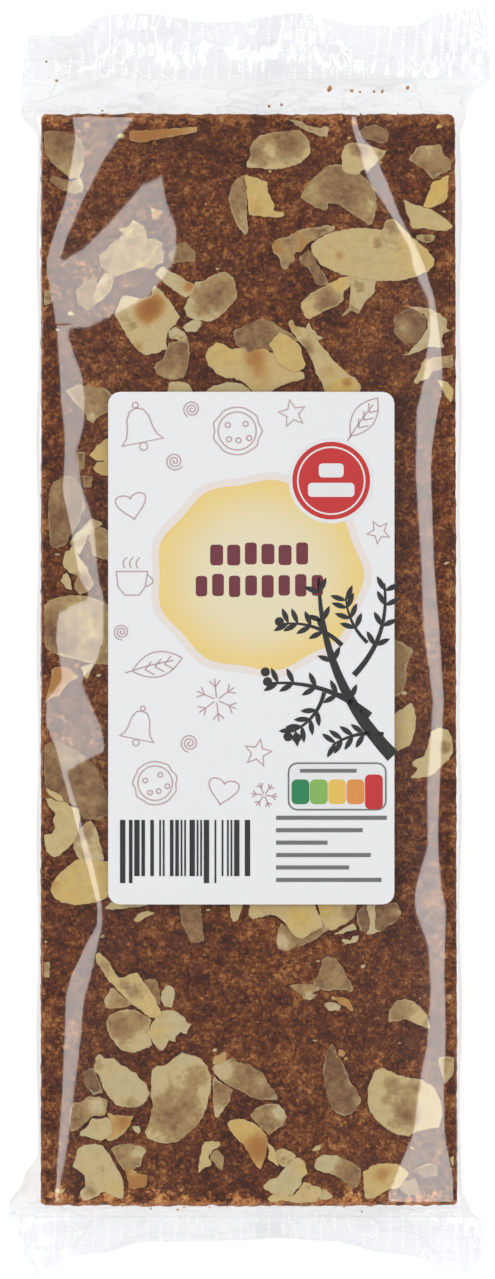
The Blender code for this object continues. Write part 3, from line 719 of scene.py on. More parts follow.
     (11.8, -59.9), (12.8, -58.4), (13.5, -56.5)), (SOAK, 16, -60.2, 1.4, -0.3)),
    (0, 0.6, 0.05, 0.0, ((7.2, -60.3), (9.7, -60.1), (12.4, -60.1), (13.2, -61.1), (11.6, -61.8),
     (12.6, -62.2), (11.2, -63.1), (9.9, -62.6), (9.7, -61.8), (8.2, -61.3)), (SOAK, 11.2, -62.4, 1, -0.4)),
    (1, 0.2, 0.6, 0.5, ((15.1, -62.2), (16.2, -62.6), (17.8, -62.6), (18.9, -63.6), (19.4, -64.9),
     (18.9, -65.1), (17.4, -64), (16.2, -63.2), (15.3, -62.8))),
    (0, 0.3, 0.0, 0.0, ((13.9, -63.8), (15.5, -63.4), (17.2, -64.2), (16.8, -64.9), (14.9, -65.1))),
    (0, 0.35, 0.0, 0.35, ((25.8, -66.1), (26.2, -64.5), (27.4, -63.2), (28.9, -62.9), (30.5, -63.4),
     (32, -64.5), (33.2, -66.3), (33.7, -68.2), (33, -68.4), (31.2, -67.6), (29.7, -66.8),
     (28.5, -66.7), (27.4, -67), (25.8, -67.2)), (SOAK, 28, -64.9, 1.6, 0.3), (SOAK, 31.6, -66.4, 2, -0.2)),
    (0, 0.05, 0.0, 0.1, ((-28.5, -73.9), (-27.8, -73.1), (-26.7, -73.8), (-25.2, -73.9), (-23.6, -75.2),
     (-22.1, -76), (-20.9, -76.6), (-20.2, -77.9), (-19, -78.7), (-18.5, -80.2), (-19, -81.8),
     (-20.2, -82.7), (-22.5, -82.9), (-24.4, -82.5), (-25.9, -81.2), (-27.1, -79.1), (-27.8, -77.2),
     (-28.7, -76)), (SOAK, -21.5, -82.4, 1.2, 0.4), (SOAK, -27.8, -74.5, 1.2, 0.3)),
    (0, 0.95, 0.0, 0.0, ((-31, -76.5), (-30.3, -79), (-29, -80.6), (-27, -80.2), (-28, -77.5),
     (-29, -75.5))),
    (0, 0.05, 0.0, 0.2, ((-18.2, -77.2), (-17.8, -75.6), (-17.1, -75.2), (-15.2, -75), (-13.6, -73.5),
     (-12.5, -72.7), (-10.5, -73.3), (-9, -73.9), (-7.7, -75.4), (-7, -77.5), (-7.1, -79.5),
     (-7.7, -82.2), (-8.4, -84.5), (-9.8, -86.4), (-11.3, -87.9), (-13.2, -89.3), (-15, -89.7),
     (-17.1, -89.3), (-19, -88.5), (-19.4, -87.7), (-18.6, -86), (-18, -83.7), (-17.9, -82.2),
     (-18.2, -80.2)), (SOAK, -13.5, -84.6, 5, 0.8), (SOAK, -9.4, -76.3, 1.8, 0.45),
     (SOAK, -13.5, -81.9, 1, -0.45), (SOAK, -11.3, -84.8, 1.4, -0.35), (SOAK, -16.5, -89, 1.5, -0.3)),
    (1, 0.5, 0.0, 0.1, ((-33.2, -83.7), (-32.7, -82.2), (-31.3, -82), (-29.8, -81), (-27.5, -80.9),
     (-26.5, -81.4), (-26.3, -82.5), (-26.7, -84.5), (-29, -84.5), (-31, -86.5), (-33, -87.5),
     (-33.5, -85.5)), (SOAK, -28, -82.6, 1.6, -0.3), (SOAK, -32, -85, 1.8, 0.35)),
    (2, 0.05, 0.0, 0.1, ((-31.1, -87.2), (-29.8, -86.2), (-29, -84.8), (-27.5, -85.2), (-26.1, -84.8),
     (-25.7, -86), (-25.5, -87.9), (-27.5, -89.1), (-29.4, -88.5), (-31.7, -88.1))),
    (1, 0.0, 0.35, 0.6, ((-26.3, -84.1), (-24.8, -84.4), (-22.8, -84.5), (-21.5, -84.5), (-22.1, -86.2),
     (-22.8, -87.3), (-24.4, -88.7), (-25.7, -89.3), (-26.7, -88.7), (-25.7, -87.2), (-25.7, -85.6)),
     (TOAST, -23.3, -85.6, 1.4, 0.4)),
    (0, 0.0, 0.0, 0.1, ((-21.7, -86.4), (-20.5, -86.4), (-20.1, -87.3), (-20.5, -87.9), (-21.3, -87.3))),
    (1, 0.03, 0.0, 0.15, ((-31.7, -90.6), (-30.5, -89.8), (-28.6, -89.7), (-27.1, -90.2), (-25.7, -91.8),
     (-24.6, -94.1), (-23.6, -95.6), (-23.2, -97.5), (-23.4, -100), (-24.2, -99.8), (-25.5, -99.3),
     (-27.1, -98.5), (-28.2, -99.5), (-30.9, -100.3), (-31.4, -98.7), (-30.3, -97.5), (-30.5, -95.6),
     (-32.7, -93.9), (-32.1, -92.2)), (SOAK, -29.5, -98.2, 1.6, 0.35), (SOAK, -27, -94.5, 0.8, 0.25),
     (YELLOW, -25, -98, 1.5, 0.4)),
    (0, 0.55, 0.0, 0.1, ((-25.7, -90.6), (-24, -89.8), (-21.7, -89.8), (-19, -90.7), (-19.8, -92.3),
     (-20.2, -93.7), (-21.7, -94.5), (-23.2, -94.7), (-24.4, -92.9)), (SOAK, -20.2, -91.5, 1.3, -0.4)),
    (1, 0.0, 0.8, 0.6, ((-23, -94.3), (-21.7, -94.5), (-20.5, -95.2), (-18.9, -95.4), (-19.2, -97.5),
     (-21.3, -98.1), (-22.3, -97.9), (-22.5, -96.4)), (TOAST, -21.5, -94.9, 0.8, -0.5)),
    (1, 0.0, 0.0, 0.4, ((-8.2, -89.3), (-5.5, -89.1), (-5.3, -90), (-6.7, -90.8), (-7.5, -92), (-6.9, -93.7),
     (-8.2, -94.1), (-9.4, -95.1), (-9.2, -92.5), (-8.8, -90.6)), (SOAK, -6, -89.5, 0.9, 0.4)),
    (0, 0.5, 0.0, 0.1, ((-6.7, -91), (-5.7, -90.8), (-4.6, -92.3), (-4.8, -94.5), (-5.9, -94.1),
     (-7.3, -92.2))),
    (0, 0.75, 0.0, 0.15, ((-7.1, -75.5), (-5.5, -74.6), (-3, -73.6), (-2.2, -74.5), (0, -75), (2.5, -76.5),
     (3.5, -78.5), (5.2, -80.5), (5.3, -81.4), (3.2, -81.6), (0.8, -81.2), (-1, -80.2), (-3, -79.2),
     (-4.4, -78.5), (-5.9, -77.3)), (SOAK, -4.8, -76.2, 2.2, -0.75), (SOAK, 2, -78.2, 1.2, -0.4),
     (SOAK, -1, -79.8, 1, -0.3)),
    (1, 0.15, 0.45, 0.3, ((-6.5, -73.5), (-4.5, -72.5), (-4, -74), (-5.5, -75), (-6.8, -74.8))),
    (0, 0.35, 0.0, 0.2, ((-6.6, -77), (-5.5, -78.3), (-3, -79.5), (-3.5, -81.5), (-4.5, -83), (-5.8, -84.8),
     (-6.5, -84.7), (-6.6, -82), (-6.8, -79.5)), (SOAK, -4.8, -79.8, 2, 0.5), (SOAK, -5.9, -84, 1.5, -0.3)),
    (0, 0.5, 0.0, 0.0, ((0.1, -84.3), (1.6, -82.9), (3.5, -82.3), (5.3, -82.4), (6.6, -83.5), (7, -84.8),
     (6.2, -86.2), (5.3, -86.8), (3.7, -88.1), (2.8, -87.2), (1.2, -85.8)), (SOAK, 5.8, -83.8, 1.3, -0.5),
     (SOAK, 3, -85.5, 1.6, 0.25)),
    (1, 0.0, 0.25, 0.8, ((-4, -85.9), (-3, -85.1), (-1, -85), (0.8, -85.8), (2.8, -87.3), (3.5, -88.9),
     (3.3, -91), (2.8, -92.7), (2, -94.4), (1, -93.3), (-0.1, -91.4), (-1.1, -89.8), (-3, -88),
     (-3.8, -86.8)), (TOAST, 1.8, -90.5, 2.4, 0.7)),
    (1, 0.0, 0.0, 0.6, ((3.5, -89.4), (4.5, -90.2), (5, -91.3), (5.6, -94), (4.5, -93.2), (3.4, -92.5),
     (3.7, -91))),
    (1, 0.3, 0.0, 0.4, ((4.9, -90.8), (6.2, -90.5), (7.8, -91.2), (8.9, -92), (7.8, -93.3), (6.2, -94.1),
     (5.5, -93.5))),
    (2, 0.03, 0.0, 0.1, ((2.6, -97.7), (3.7, -96.4), (5.1, -96), (6.2, -94.5), (7.8, -92.9), (8.9, -92),
     (10.3, -92.9), (10.5, -94.1), (10.7, -95.2), (9.7, -96.4), (9.7, -97.5), (8.5, -98.3),
     (8.2, -99.3), (6.2, -99.1), (4.3, -98.7), (3.2, -98.3)), (YELLOW, 10.2, -94, 1.3, 0.8),
     (TOAST, 10.3, -93.6, 0.8, 0.4)),
    (1, 0.0, 0.0, 0.45, ((3.2, -99.7), (4.7, -98.9), (8.2, -99.3), (9.7, -97.5), (10.1, -96.8),
     (11.6, -97.2), (13.2, -97.9), (13.5, -98.9), (12.4, -100.5), (10.1, -100.7), (8.2, -100.5),
     (6.2, -100.2), (3.9, -100.5)), (SOAK, 10.6, -98, 1.2, 0.3), (TOAST, 9, -98.8, 1, 0.25)),
    (0, 0.0, 0.0, 0.2, ((13.7, -97.9), (15.3, -99.1), (15.5, -99.9), (12.8, -100))),
    (0, 0.7, 0.0, 0.1, ((12, -93.7), (12.4, -92.7), (13.7, -91.6), (15.5, -91.8), (17, -92.2),
     (19.3, -93.1), (20.8, -94.5), (20.5, -96.5), (20.1, -97.9), (18.9, -97.5), (17.8, -96.8),
     (16.2, -95.8), (14.3, -95), (12.4, -94.5)), (SOAK, 13.8, -93.3, 2.4, -0.8)),
    (0, 0.0, 0.15, 0.6, ((21.2, -94.8), (22.4, -94.1), (23.9, -93.4), (25.8, -93.2), (27.6, -93.5),
     (28.2, -94.1), (29.3, -94.8), (29.5, -95.6), (28.5, -96.8), (27.8, -97.9), (26.2, -98.1),
     (24.7, -98.9), (23.2, -99.7), (21.6, -100), (21.2, -97.9), (21.3, -96.4)),
     (TOAST, 25, -95.6, 1.8, 0.45), (TOAST, 27.6, -96.8, 2, -0.3)),
    (0, 0.95, 0.05, 0.1, ((15.1, -71), (15.8, -71.8), (16.6, -73.3), (18, -76), (18.5, -78.1),
     (19.7, -79.3), (20.1, -80.4), (20.8, -81.8), (20.1, -82.9), (18.9, -84.1), (17.8, -84.5),
     (16.2, -84.1), (15.3, -82.9), (14.5, -81), (13.9, -78.3), (13.7, -75.2), (14.3, -72.9)),
     (SOAK, 20.2, -81.8, 0.8, -0.8), (SOAK, 18.9, -78.4, 0.8, -0.6), (SOAK, 17.2, -84, 0.8, -0.4)),
    (0, 0.0, 0.0, 0.3, ((11.6, -90.8), (12.4, -90), (13.5, -89.8), (13.2, -90.6), (12, -91.2))),
    (0, 0.08, 0.0, 0.3, ((22, -79.3), (22.6, -77.9), (23.5, -76), (24.7, -75.7), (26.2, -76.2),
     (28.2, -77.2), (29.7, -77.5), (31.6, -77.7), (33.5, -78.7), (34.7, -80), (35.5, -81.8),
     (35.9, -84.3), (35.1, -86.8), (32.8, -87), (31.2, -87.3), (29.7, -88.3), (27.8, -88.1),
     (26.2, -87.5), (24.7, -86.2), (23.5, -85.2), (22.2, -83.3), (22.1, -81.4)),
     (SOAK, 29.2, -84, 2.4, 0.7), (SOAK, 27, -79, 2, 0.45), (SOAK, 25.2, -81.5, 1.2, 0.3),
     (SOAK, 30.6, -79.5, 1.4, 0.35)),
    (0, 0.3, 0.0, 0.2, ((34.9, -73.9), (36.6, -73.3), (38, -73.9), (38, -76.4), (37.4, -77.5),
     (36.2, -78.9), (35.5, -76))),
    (0, 0.7, 0.0, 0.0, ((28.5, -96.8), (30.8, -96.2), (31.4, -97.5), (31.6, -99.3), (29.3, -99.1),
     (27.8, -98.3))),
    (0, 0.8, 0.0, 0.1, ((31.2, -94.1), (33, -93.3), (35, -93.7), (34.9, -95.6), (32.5, -96),
     (31.2, -95.2))),
    (0, 0.0, 0.0, 0.7, ((37.2, -92.5), (38, -91.8), (38, -94), (37.6, -93.7))),
    (0, 0.2, 0.0, 0.3, ((-36, -98.1), (-34.2, -98.1), (-34.5, -98.9), (-36.1, -98.7))),
    (0, 0.6, 0.0, 0.05, ((-34, 50.1), (-31.7, 51), (-29, 50.7), (-26.7, 50.3), (-25.5, 49.5),
     (-25.5, 46.2), (-27.1, 45.5), (-28.4, 44.7), (-29, 43.9), (-30, 44.5), (-30.2, 45.5),
     (-31, 46.5), (-32.8, 48.2)), (SOAK, -29.1, 45.2, 1, -0.5)),
    (1, 0.0, 0.05, 0.7, ((-25.5, 41.6), (-27.5, 40.3), (-28.6, 39.3), (-29.6, 38), (-28.8, 37.1),
     (-27.5, 37), (-25.5, 36.2))),
    (0, 0.0, 0.0, 0.7, ((-28.9, 35.5), (-28.4, 36.6), (-26.7, 36.8), (-25.5, 35.8), (-25.5, 34.1),
     (-27.5, 34.3), (-28.4, 34.7))),
    (0, 0.75, 0.0, 0.4, ((-32, 38.5), (-30.4, 38.6), (-30.5, 35.5), (-31.7, 35))),
    (0, 0.8, 0.0, 0.3, ((-31, 34.2), (-29, 34.1), (-29.2, 32), (-30.7, 32))),
    (0, 0.85, 0.0, 0.3, ((-37, 31.5), (-36.3, 33), (-34.6, 34), (-32.5, 34), (-31, 31.5), (-30.5, 28.5),
     (-31.5, 25.5), (-33.5, 22.5), (-33.9, 21.5), (-35.5, 20.8), (-36.8, 21), (-37.1, 24),
     (-37.3, 28)), (SOAK, -35.5, 31.8, 1.6, -0.3)),
    (1, 0.36, 0.0, 0.0, ((-33.4, 21.8), (-31.9, 23.5), (-30.5, 24.9), (-29.2, 26.2), (-27.5, 25.7),
     (-27.2, 25.1), (-29, 23.9), (-30, 23), (-30.5, 21.5), (-31.5, 19.5), (-32.7, 20.8))),
    (0, 0.45, 0.0, 0.1, ((-29.6, 23.5), (-27.5, 24.8), (-25.5, 23.5), (-25.5, 18), (-27.5, 19),
     (-29, 19.3), (-29.4, 21.5))),
    (0, 0.1, 0.0, 0.3, ((-34.2, 19.9), (-33.2, 20.5), (-32.7, 21.2), (-31.3, 18.9), (-30, 17),
     (-29.2, 15.1), (-28.9, 13.9), (-29.8, 12.8), (-31.3, 12.2), (-32.5, 13.2), (-31.9, 15.8),
     (-33.2, 16.2), (-34.4, 17.4), (-34.6, 18.5)), (SOAK, -30.8, 14.5, 1.8, 0.7)),
    (1, 0.0, 0.0, 0.2, ((-35, 14.7), (-34.4, 15.8), (-33.8, 16.2), (-33.2, 15.1), (-32.7, 13),
     (-34, 13.3))),
    (0, 0.4, 0.0, 0.55, ((-38, 10.1), (-37.1, 11), (-34.8, 11.8), (-32.5, 12), (-29.8, 11.8), (-27.8, 11),
     (-25.5, 9.9), (-25.5, -0.9), (-28.2, -0.7), (-30.2, -0.5), (-31.7, 0.1), (-34, 0.5),
     (-35.9, 1.2), (-37.5, 2), (-38, 3)), (SOAK, -37, 6, 2.4, 0.6), (SOAK, -34.5, 3, 1.8, 0.4)),
    (0, 0.1, 0.0, 0.0, ((-31.3, -1.3), (-29.8, -0.9), (-28.8, -0.7), (-29.4, -2.2), (-30.1, -3.6),
     (-30.7, -2.8))),
    (0, 0.1, 0.65, 0.1, ((-36.6, -1.5), (-35.2, -1.1), (-33.2, -1.7), (-31.7, -3.2), (-32.8, -3.8),
     (-34, -4.5), (-35.2, -6.5), (-36.7, -7), (-38, -8.4), (-38.1, -9), (-37.5, -6.8), (-36.9, -4.5))),
    (0, 0.85, 0.0, 0.2, ((-38, -15.7), (-35.9, -14.9), (-34, -15.7), (-32.1, -16.8), (-29.8, -18.4),
     (-27.8, -20.7), (-26.7, -23.8), (-25.8, -26.5), (-25.8, -28.4), (-27.8, -29.5), (-29.8, -29.7),
     (-31.3, -28.8), (-32.1, -26.8), (-34, -26.5), (-35.9, -25.5), (-37.5, -24.2), (-38, -22.6),
     (-38, -18.8)), (SOAK, -29.8, -22.8, 0.8, -0.4), (SOAK, -28.9, -26.5, 0.7, -0.4),
     (SOAK, -31.3, -25.3, 0.7, -0.3), (SOAK, -35, -18, 0.9, -0.3)),
    (1, 0.0, 0.0, 0.5, ((-37.8, -23.8), (-36.7, -24.2), (-34.8, -25.1), (-34.2, -26.5), (-35.9, -25.9),
     (-37.3, -24.7))),
    (1, 0.0, 0.0, 0.3, ((-37.7, -25.7), (-37.1, -25.5), (-35.9, -26.1), (-34, -26.5), (-32.7, -27.2),
     (-31.5, -27.6), (-31.2, -29.2), (-31.5, -30.7), (-31.9, -32.2), (-32.3, -33.4), (-33.2, -34.5),
     (-34.8, -35.9), (-36.1, -36.7), (-37.5, -35.7), (-38, -34.2), (-38, -32.4), (-36.5, -32.2),
     (-35.9, -31.1), (-36.3, -29.9), (-35.9, -28.4), (-36.9, -27.2))),
    (1, 0.25, 0.0, 0.2, ((-31.7, -31.5), (-30.5, -30.3), (-29.4, -29.7), (-28.2, -31.8), (-27.5, -34.2),
     (-26.7, -37), (-28.6, -37.2), (-30.2, -37.6), (-31.3, -37.2), (-32.3, -35.7), (-32.7, -34.2)),
     (SOAK, -30.8, -32, 1.5, 0.5)),
    (0, 0.0, 0.0, 0.7, ((-36.7, -41.8), (-36.1, -40.7), (-34.8, -39.2), (-32.8, -37.6), (-31.7, -36.9),
     (-29.8, -36.9), (-25.5, -37.3), (-25.5, -43.6), (-27.8, -44.7), (-29.8, -45.3), (-32.1, -45.5),
     (-34.8, -44.9), (-36.1, -44.2), (-36.7, -43)), (TOAST, -36.2, -41.8, 1.2, 0.6),
     (TOAST, -32, -39, 2, 0.25)),
    (0, 0.65, 0.0, 0.25, ((26.3, 4), (28.5, 3.2), (30.5, 1.8), (29.5, -0.1), (29.1, -1.7), (29.3, -4.2),
     (28.5, -5.4), (27.8, -6.6), (26.3, -7)), (SOAK, 30, 2, 0.9, -0.3)),
    (0, 0.0, 0.0, 0.35, ((26.3, -10.3), (28.5, -9.1), (30, -7.9), (30.7, -9.1), (31, -10.7),
     (30.7, -13.2), (29.9, -15.7), (28.5, -16.5), (26.3, -17.7))),
    (0, 0.08, 0.0, 0.2, ((29.9, -21.8), (31.3, -20.2), (30.1, -19.1), (32.6, -17.7), (33.2, -15.7),
     (33.8, -13.2), (35.2, -12.6), (36.9, -12.8), (37.7, -14.8), (37.9, -16.9), (37.1, -18.5),
     (35.4, -20), (33.8, -21.4), (32.2, -21.8), (30.1, -22)), (SOAK, 36.4, -16.2, 1, 0.6)),
    (0, 0.0, 0.0, 0.2, ((-14.8, 51.6), (-12, 51.6), (-10.9, 50.9), (-10.3, 49.4), (-15.2, 49.4))),
    (0, 0.1, 0.0, 0.15, ((-8.4, 49.4), (-6.7, 50.8), (-4, 51.5), (-1.5, 51.3), (0, 50.3), (0.6, 49.4))),
)
# Bits under two millimetres: x, y, size across, then soaked, toasted and yellow
BITS = (
    (-23.7, 97.2, 1.5, 0.0, 0.0, 0.0), (-17.3, 76.7, 1.5, 0.0, 0.0, 0.0),
    (-33.1, 64.2, 1.2, 0.0, 0.0, 0.0), (-35.5, 61.2, 1.0, 0.0, 0.0, 0.0),
    (-5.9, 72.6, 0.9, 0.1, 0.0, 0.0), (27.0, 74.8, 1.4, 0.0, 0.0, 0.0),
    (3.9, 90.5, 0.9, 0.0, 0.3, 1.0), (35.2, 98.9, 1.2, 0.0, 0.1, 0.9),
    (18.6, 96.7, 0.9, 0.0, 0.4, 1.0), (24.4, 92.3, 0.6, 0.0, 0.5, 1.0),
    (22.0, 90.8, 0.9, 0.0, 0.0, 0.0), (36.2, 83.1, 0.7, 0.0, 0.0, 0.0),
    (-37.8, -52.2, 0.8, 0.0, 0.1, 0.7), (-7.6, -46.3, 1.1, 0.4, 0.0, 0.1),
    (12.8, -55.8, 0.9, 0.0, 0.0, 0.0), (21.2, -56.8, 0.9, 0.1, 0.0, 0.0),
    (12.2, -70.6, 0.8, 0.0, 0.0, 0.1), (27.9, -71.0, 0.6, 0.0, 0.0, 0.0),
    (37.2, -62.4, 1.3, 0.0, 0.7, 1.0), (-27.8, -2.8, 1.3, 0.1, 0.0, 0.1),
    (28.7, -6.1, 1.2, 0.1, 0.0, 0.1), (36.7, 18.0, 1.1, 0.1, 0.0, 0.0),
    (-35.5, 19.6, 1.0, 0.3, 0.0, 0.0), (-6.4, -72.4, 1.0, 0.0, 0.0, 0.1),
    (-28.0, -85.7, 1.2, 0.0, 0.1, 0.7), (30.2, -90.4, 0.8, 0.3, 0.2, 0.4),
    (-27.2, -51.3, 0.9, 0.5, 0.0, 0.2),
)
print(len(FLAKES), "flakes and", len(BITS), "bits")

# %% Cutting flakes
FLAKE_THICK = 0.5
FLAKE_BASE = 0.32
STACK = 0.27
EDGE_STEP = 0.42
EDGE_FREE = 0.38
CELL_ACROSS = 0.85
NUDGE = 0.15
RAGGED = 0.17
EASE = 0.15
CUP = (-0.1, 0.3)
FULL_CUP_HALF = 5
SLOW_BEND = 0.17
FINE_BEND = 0.06
SIDE_FREE = 0.35
RIM_REACH = 1.1
BIT_SIDES = 7
DUST_SEED = 21
FIRST_BIT = 200


def cut_edge(outline, luck):
    """An outline with a point about every half millimetre, its corners eased, a little ragged."""
    path = []
    for start, end in zip(outline, (*outline[1:], outline[0])):
        start = Vector(start)
        run = Vector(end) - start
        count = max(1, round(run.length / EDGE_STEP))
        for step in range(count):
            jag = Vector((luck.uniform(-1, 1), luck.uniform(-1, 1))) * RAGGED
            path.append(start + run * (step / count) + jag)
    eased = []
    for before, here, after in zip((path[-1], *path[:-1]), path, (*path[1:], path[0])):
        eased.append(here * (1 - 2 * EASE) + (before + after) * EASE)
    return eased


def inside(point, path):
    """Whether a point lies in a closed path, and how far from its points."""
    crossed = False
    near = 1e9
    for start, end in zip(path, (*path[1:], path[0])):
        near = min(near, (start - point).length)
        if (start.y > point.y) != (end.y > point.y):
            share = (point.y - start.y) / (end.y - start.y)
            crossed ^= point.x < start.x + (end.x - start.x) * share
    return crossed, near


def cut_flake(index, level, looks, outline, spots=()):
    """One flake: its outline filled with small triangles, bent, and laid on the dough."""
    luck = random.Random(index)
    path = cut_edge(outline, luck)
    left = min(point.x for point in path)
    right = max(point.x for point in path)
    low = min(point.y for point in path)
    high = max(point.y for point in path)
    points = list(path)
    near = [0.0] * len(path)
    for column in range(int((right - left) / CELL_ACROSS) + 1):
        for row in range(int((high - low) / CELL_ACROSS) + 1):
            nudge = Vector((luck.uniform(-NUDGE, NUDGE), luck.uniform(-NUDGE, NUDGE)))
            x = left + (column + 0.5) * CELL_ACROSS
            y = low + (row + 0.5) * CELL_ACROSS
            place = Vector((x, y)) + nudge
            is_in, distance = inside(place, path)
            if is_in and distance > EDGE_FREE:
                points.append(place)
                near.append(distance)
    corners, _, faces, found, _, _ = delaunay_2d_cdt(points, [], [list(range(len(path)))], 1, 1e-6)
    mesh = bpy.data.meshes.new("flake")
    middle = Vector(((left + right) / 2, (low + high) / 2))
    half = max(right - left, high - low) / 2
    way = luck.uniform(0, math.pi)
    cup = luck.uniform(*CUP) * min(1.0, half / FULL_CUP_HALF)
    base = BAR_TOP + FLAKE_BASE + STACK * level
    places = []
    for corner in corners:
        x = clamp(corner.x, SIDE_FREE - BAR_WIDTH / 2, BAR_WIDTH / 2 - SIDE_FREE)
        off = Vector((x, corner.y)) - middle
        across = (off.x * math.cos(way) + off.y * math.sin(way)) / half
        bend = cup * across * across + SLOW_BEND * wave(x * 0.3, corner.y * 0.3, index * 1.7)
        bend += FINE_BEND * wave(x * 0.9, corner.y * 0.9, index * 1.7)
        places.append(Vector((x, corner.y + BAR_Y, base + bend - crown(x))) * MM)
    mesh.from_pydata(places, [], faces)
    marks = {name: [] for name in ("soaked", "toasted", "yellow", "rim")}
    for number, corner in enumerate(corners):
        values = list(looks)
        for what, x, y, radius, amount in spots:
            share = math.exp(-(((corner.x - x) ** 2 + (corner.y - y) ** 2) / radius**2) * 0.8)
            values[what] += amount * share
        for name, value in zip(("soaked", "toasted", "yellow"), values):
            marks[name].append(value)
        distance = near[found[number][0]] if found[number] else 0.0
        marks["rim"].append(1 - clamp(distance / RIM_REACH))
    for name, values in marks.items():
        mesh.attributes.new(name, "FLOAT", "POINT").data.foreach_set("value", values)
    flake = bpy.data.objects.new("flake", mesh)
    bpy.context.scene.collection.objects.link(flake)
    return flake


def bit_outline(x, y, across, luck):
    """A rough outline for a bit of almond."""
    turn = luck.uniform(0, 6)
    narrow = luck.uniform(0.45, 0.9)
    points = []
    for side in range(BIT_SIDES):
        around = turn + 2 * math.pi * side / BIT_SIDES
        reach = across / 2 * luck.uniform(0.75, 1.15)
        points.append((x + reach * math.cos(around), y + reach * narrow * math.sin(around)))
    return points


flakes = []
for index, (level, soaked, toasted, yellow, outline, *spots) in enumerate(FLAKES):
    flakes.append(cut_flake(index, level, (soaked, toasted, yellow), outline, spots))
dust = random.Random(DUST_SEED)
for index, (x, y, across, *looks) in enumerate(BITS):
    flakes.append(cut_flake(FIRST_BIT + index, 1, looks, bit_outline(x, y, across, dust)))
almonds = joined("almond_flakes", flakes)
applied(almonds, "SOLIDIFY", thickness=FLAKE_THICK * MM, offset=-1.0)
edited(almonds, (bpy.ops.mesh.normals_make_consistent, {"inside": False}))
smooth_faces(almonds, 50)
print(len(almonds.data.vertices), "points in the almonds")

# %% [markdown]
# The numbers that each flake carries decide its look. The soaked share goes from the pale nut
# through olive to the brown that shows through a clear slice. Noise makes its borders uneven,
# the cut rim stays paler, and a soaked flake is glossier than a dry one.

# %% Almond
ALMOND_BUMP = 0.0003
almond = Recipe("almond")
spot = almond.place()


def mark(name):
    return almond.add("ShaderNodeAttribute", {"attribute_name": name})["Fac"]


soft = almond.grain(spot, 240, 3.0, 0.6)
fine = almond.grain(spot, 1100, 3.0, 0.65)
streaks = almond.grain(spot, 520, 4.0, 0.7)
yellow_share = (mark("yellow") + (soft - 0.5) * 0.6).held()
pale = almond.colours(yellow_share, linear(223, 204, 157), linear(242, 202, 108))
pale = almond.colours((streaks - 0.45) * 1.5, pale, linear(193, 164, 103))
pale = almond.colours(fine.step(0.55, 0.75) * 0.5, pale, linear(236, 222, 186))
toast_share = (mark("toasted") + (soft - 0.5) * 0.5 + (fine - 0.5) * 0.25).held()
golden = almond.colours(toast_share, linear(230, 182, 98), linear(180, 112, 50))
body = almond.colours(toast_share.step(0.15, 0.65), pale, golden)
soak_share = (mark("soaked") + (soft - 0.5) * 0.8 + (streaks - 0.5) * 0.6).held()
clear = almond.ramp(
    soak_share,
    (0.0, (220, 198, 148)),
    (0.35, (202, 170, 114)),
    (0.65, (184, 146, 94)),
    (1.0, (144, 102, 62)),
)
speckle = almond.grain(spot, 780, 4.0, 0.65)
clear = almond.colours((speckle - 0.42) * 3 * soak_share, clear, linear(104, 62, 34))
body = almond.colours(soak_share.step(0.18, 0.42), body, clear)
rim_share = (mark("rim") + (streaks - 0.5) * 1.5 + (soft - 0.5) * 1.5).step(0.85, 1.1)
body = almond.colours(rim_share * 0.5, body, linear(224, 202, 150))
ground_nut = almond.coat({
    "Base Color": body,
    "Roughness": 0.6 - soak_share * 0.2,
    "Normal": almond.bump(fine * 0.5 + streaks * 0.6, 0.6, ALMOND_BUMP),
    "Specular IOR Level": 0.3,
})
hand_over(almonds, almond.finished(ground_nut), "filmed_biscuit")


# %% [markdown]
# ## Crumbs
#
# Handling breaks off crumbs, which gather in the loose film at both ends, and fine almond dust
# lies on the bar. Each crumb is a small ball of few faces with its corners pushed about.

# %% Crumbs in the film and on the bar
CRUMB_SEED = 7
CRUMB_BURST = (0.6, 1.2)
TOP_TENT_Z = 8.0
LOW_TENT_Z = 7.0
END_COUNT = 26
DUST_COUNT = 80
CLUSTER = ((17.2, -72.8, 1.6), (16.3, -73.5, 1.3), (18.0, -73.9, 1.0), (16.9, -74.4, 0.8))
TENT_CRUMBS = (
    (15.0, 106.5, 1.5), (19.1, 106.1, 0.8), (20.7, 105.9, 0.7), (23.3, 106.0, 0.7),
    (24.8, 106.0, 0.8), (29.6, 106.7, 0.9), (3.7, 103.3, 0.7), (6.1, 103.5, 0.7),
    (-37.8, 111.6, 0.6), (-35.9, 108.0, 0.6), (-18.3, -102.4, 0.8), (-13.3, -102.6, 0.7),
    (21.0, -103.0, 0.6),
)
luck = random.Random(CRUMB_SEED)


def make_crumb(x, y, z, size):
    bpy.ops.mesh.primitive_ico_sphere_add(subdivisions=1, radius=size / 2 * MM)
    crumb = bpy.context.object
    for vertex in crumb.data.vertices:
        vertex.co *= luck.uniform(*CRUMB_BURST)
    middle = Vector((x, y + BAR_Y, z)) * MM
    for vertex in crumb.data.vertices:
        vertex.co += middle
    return crumb


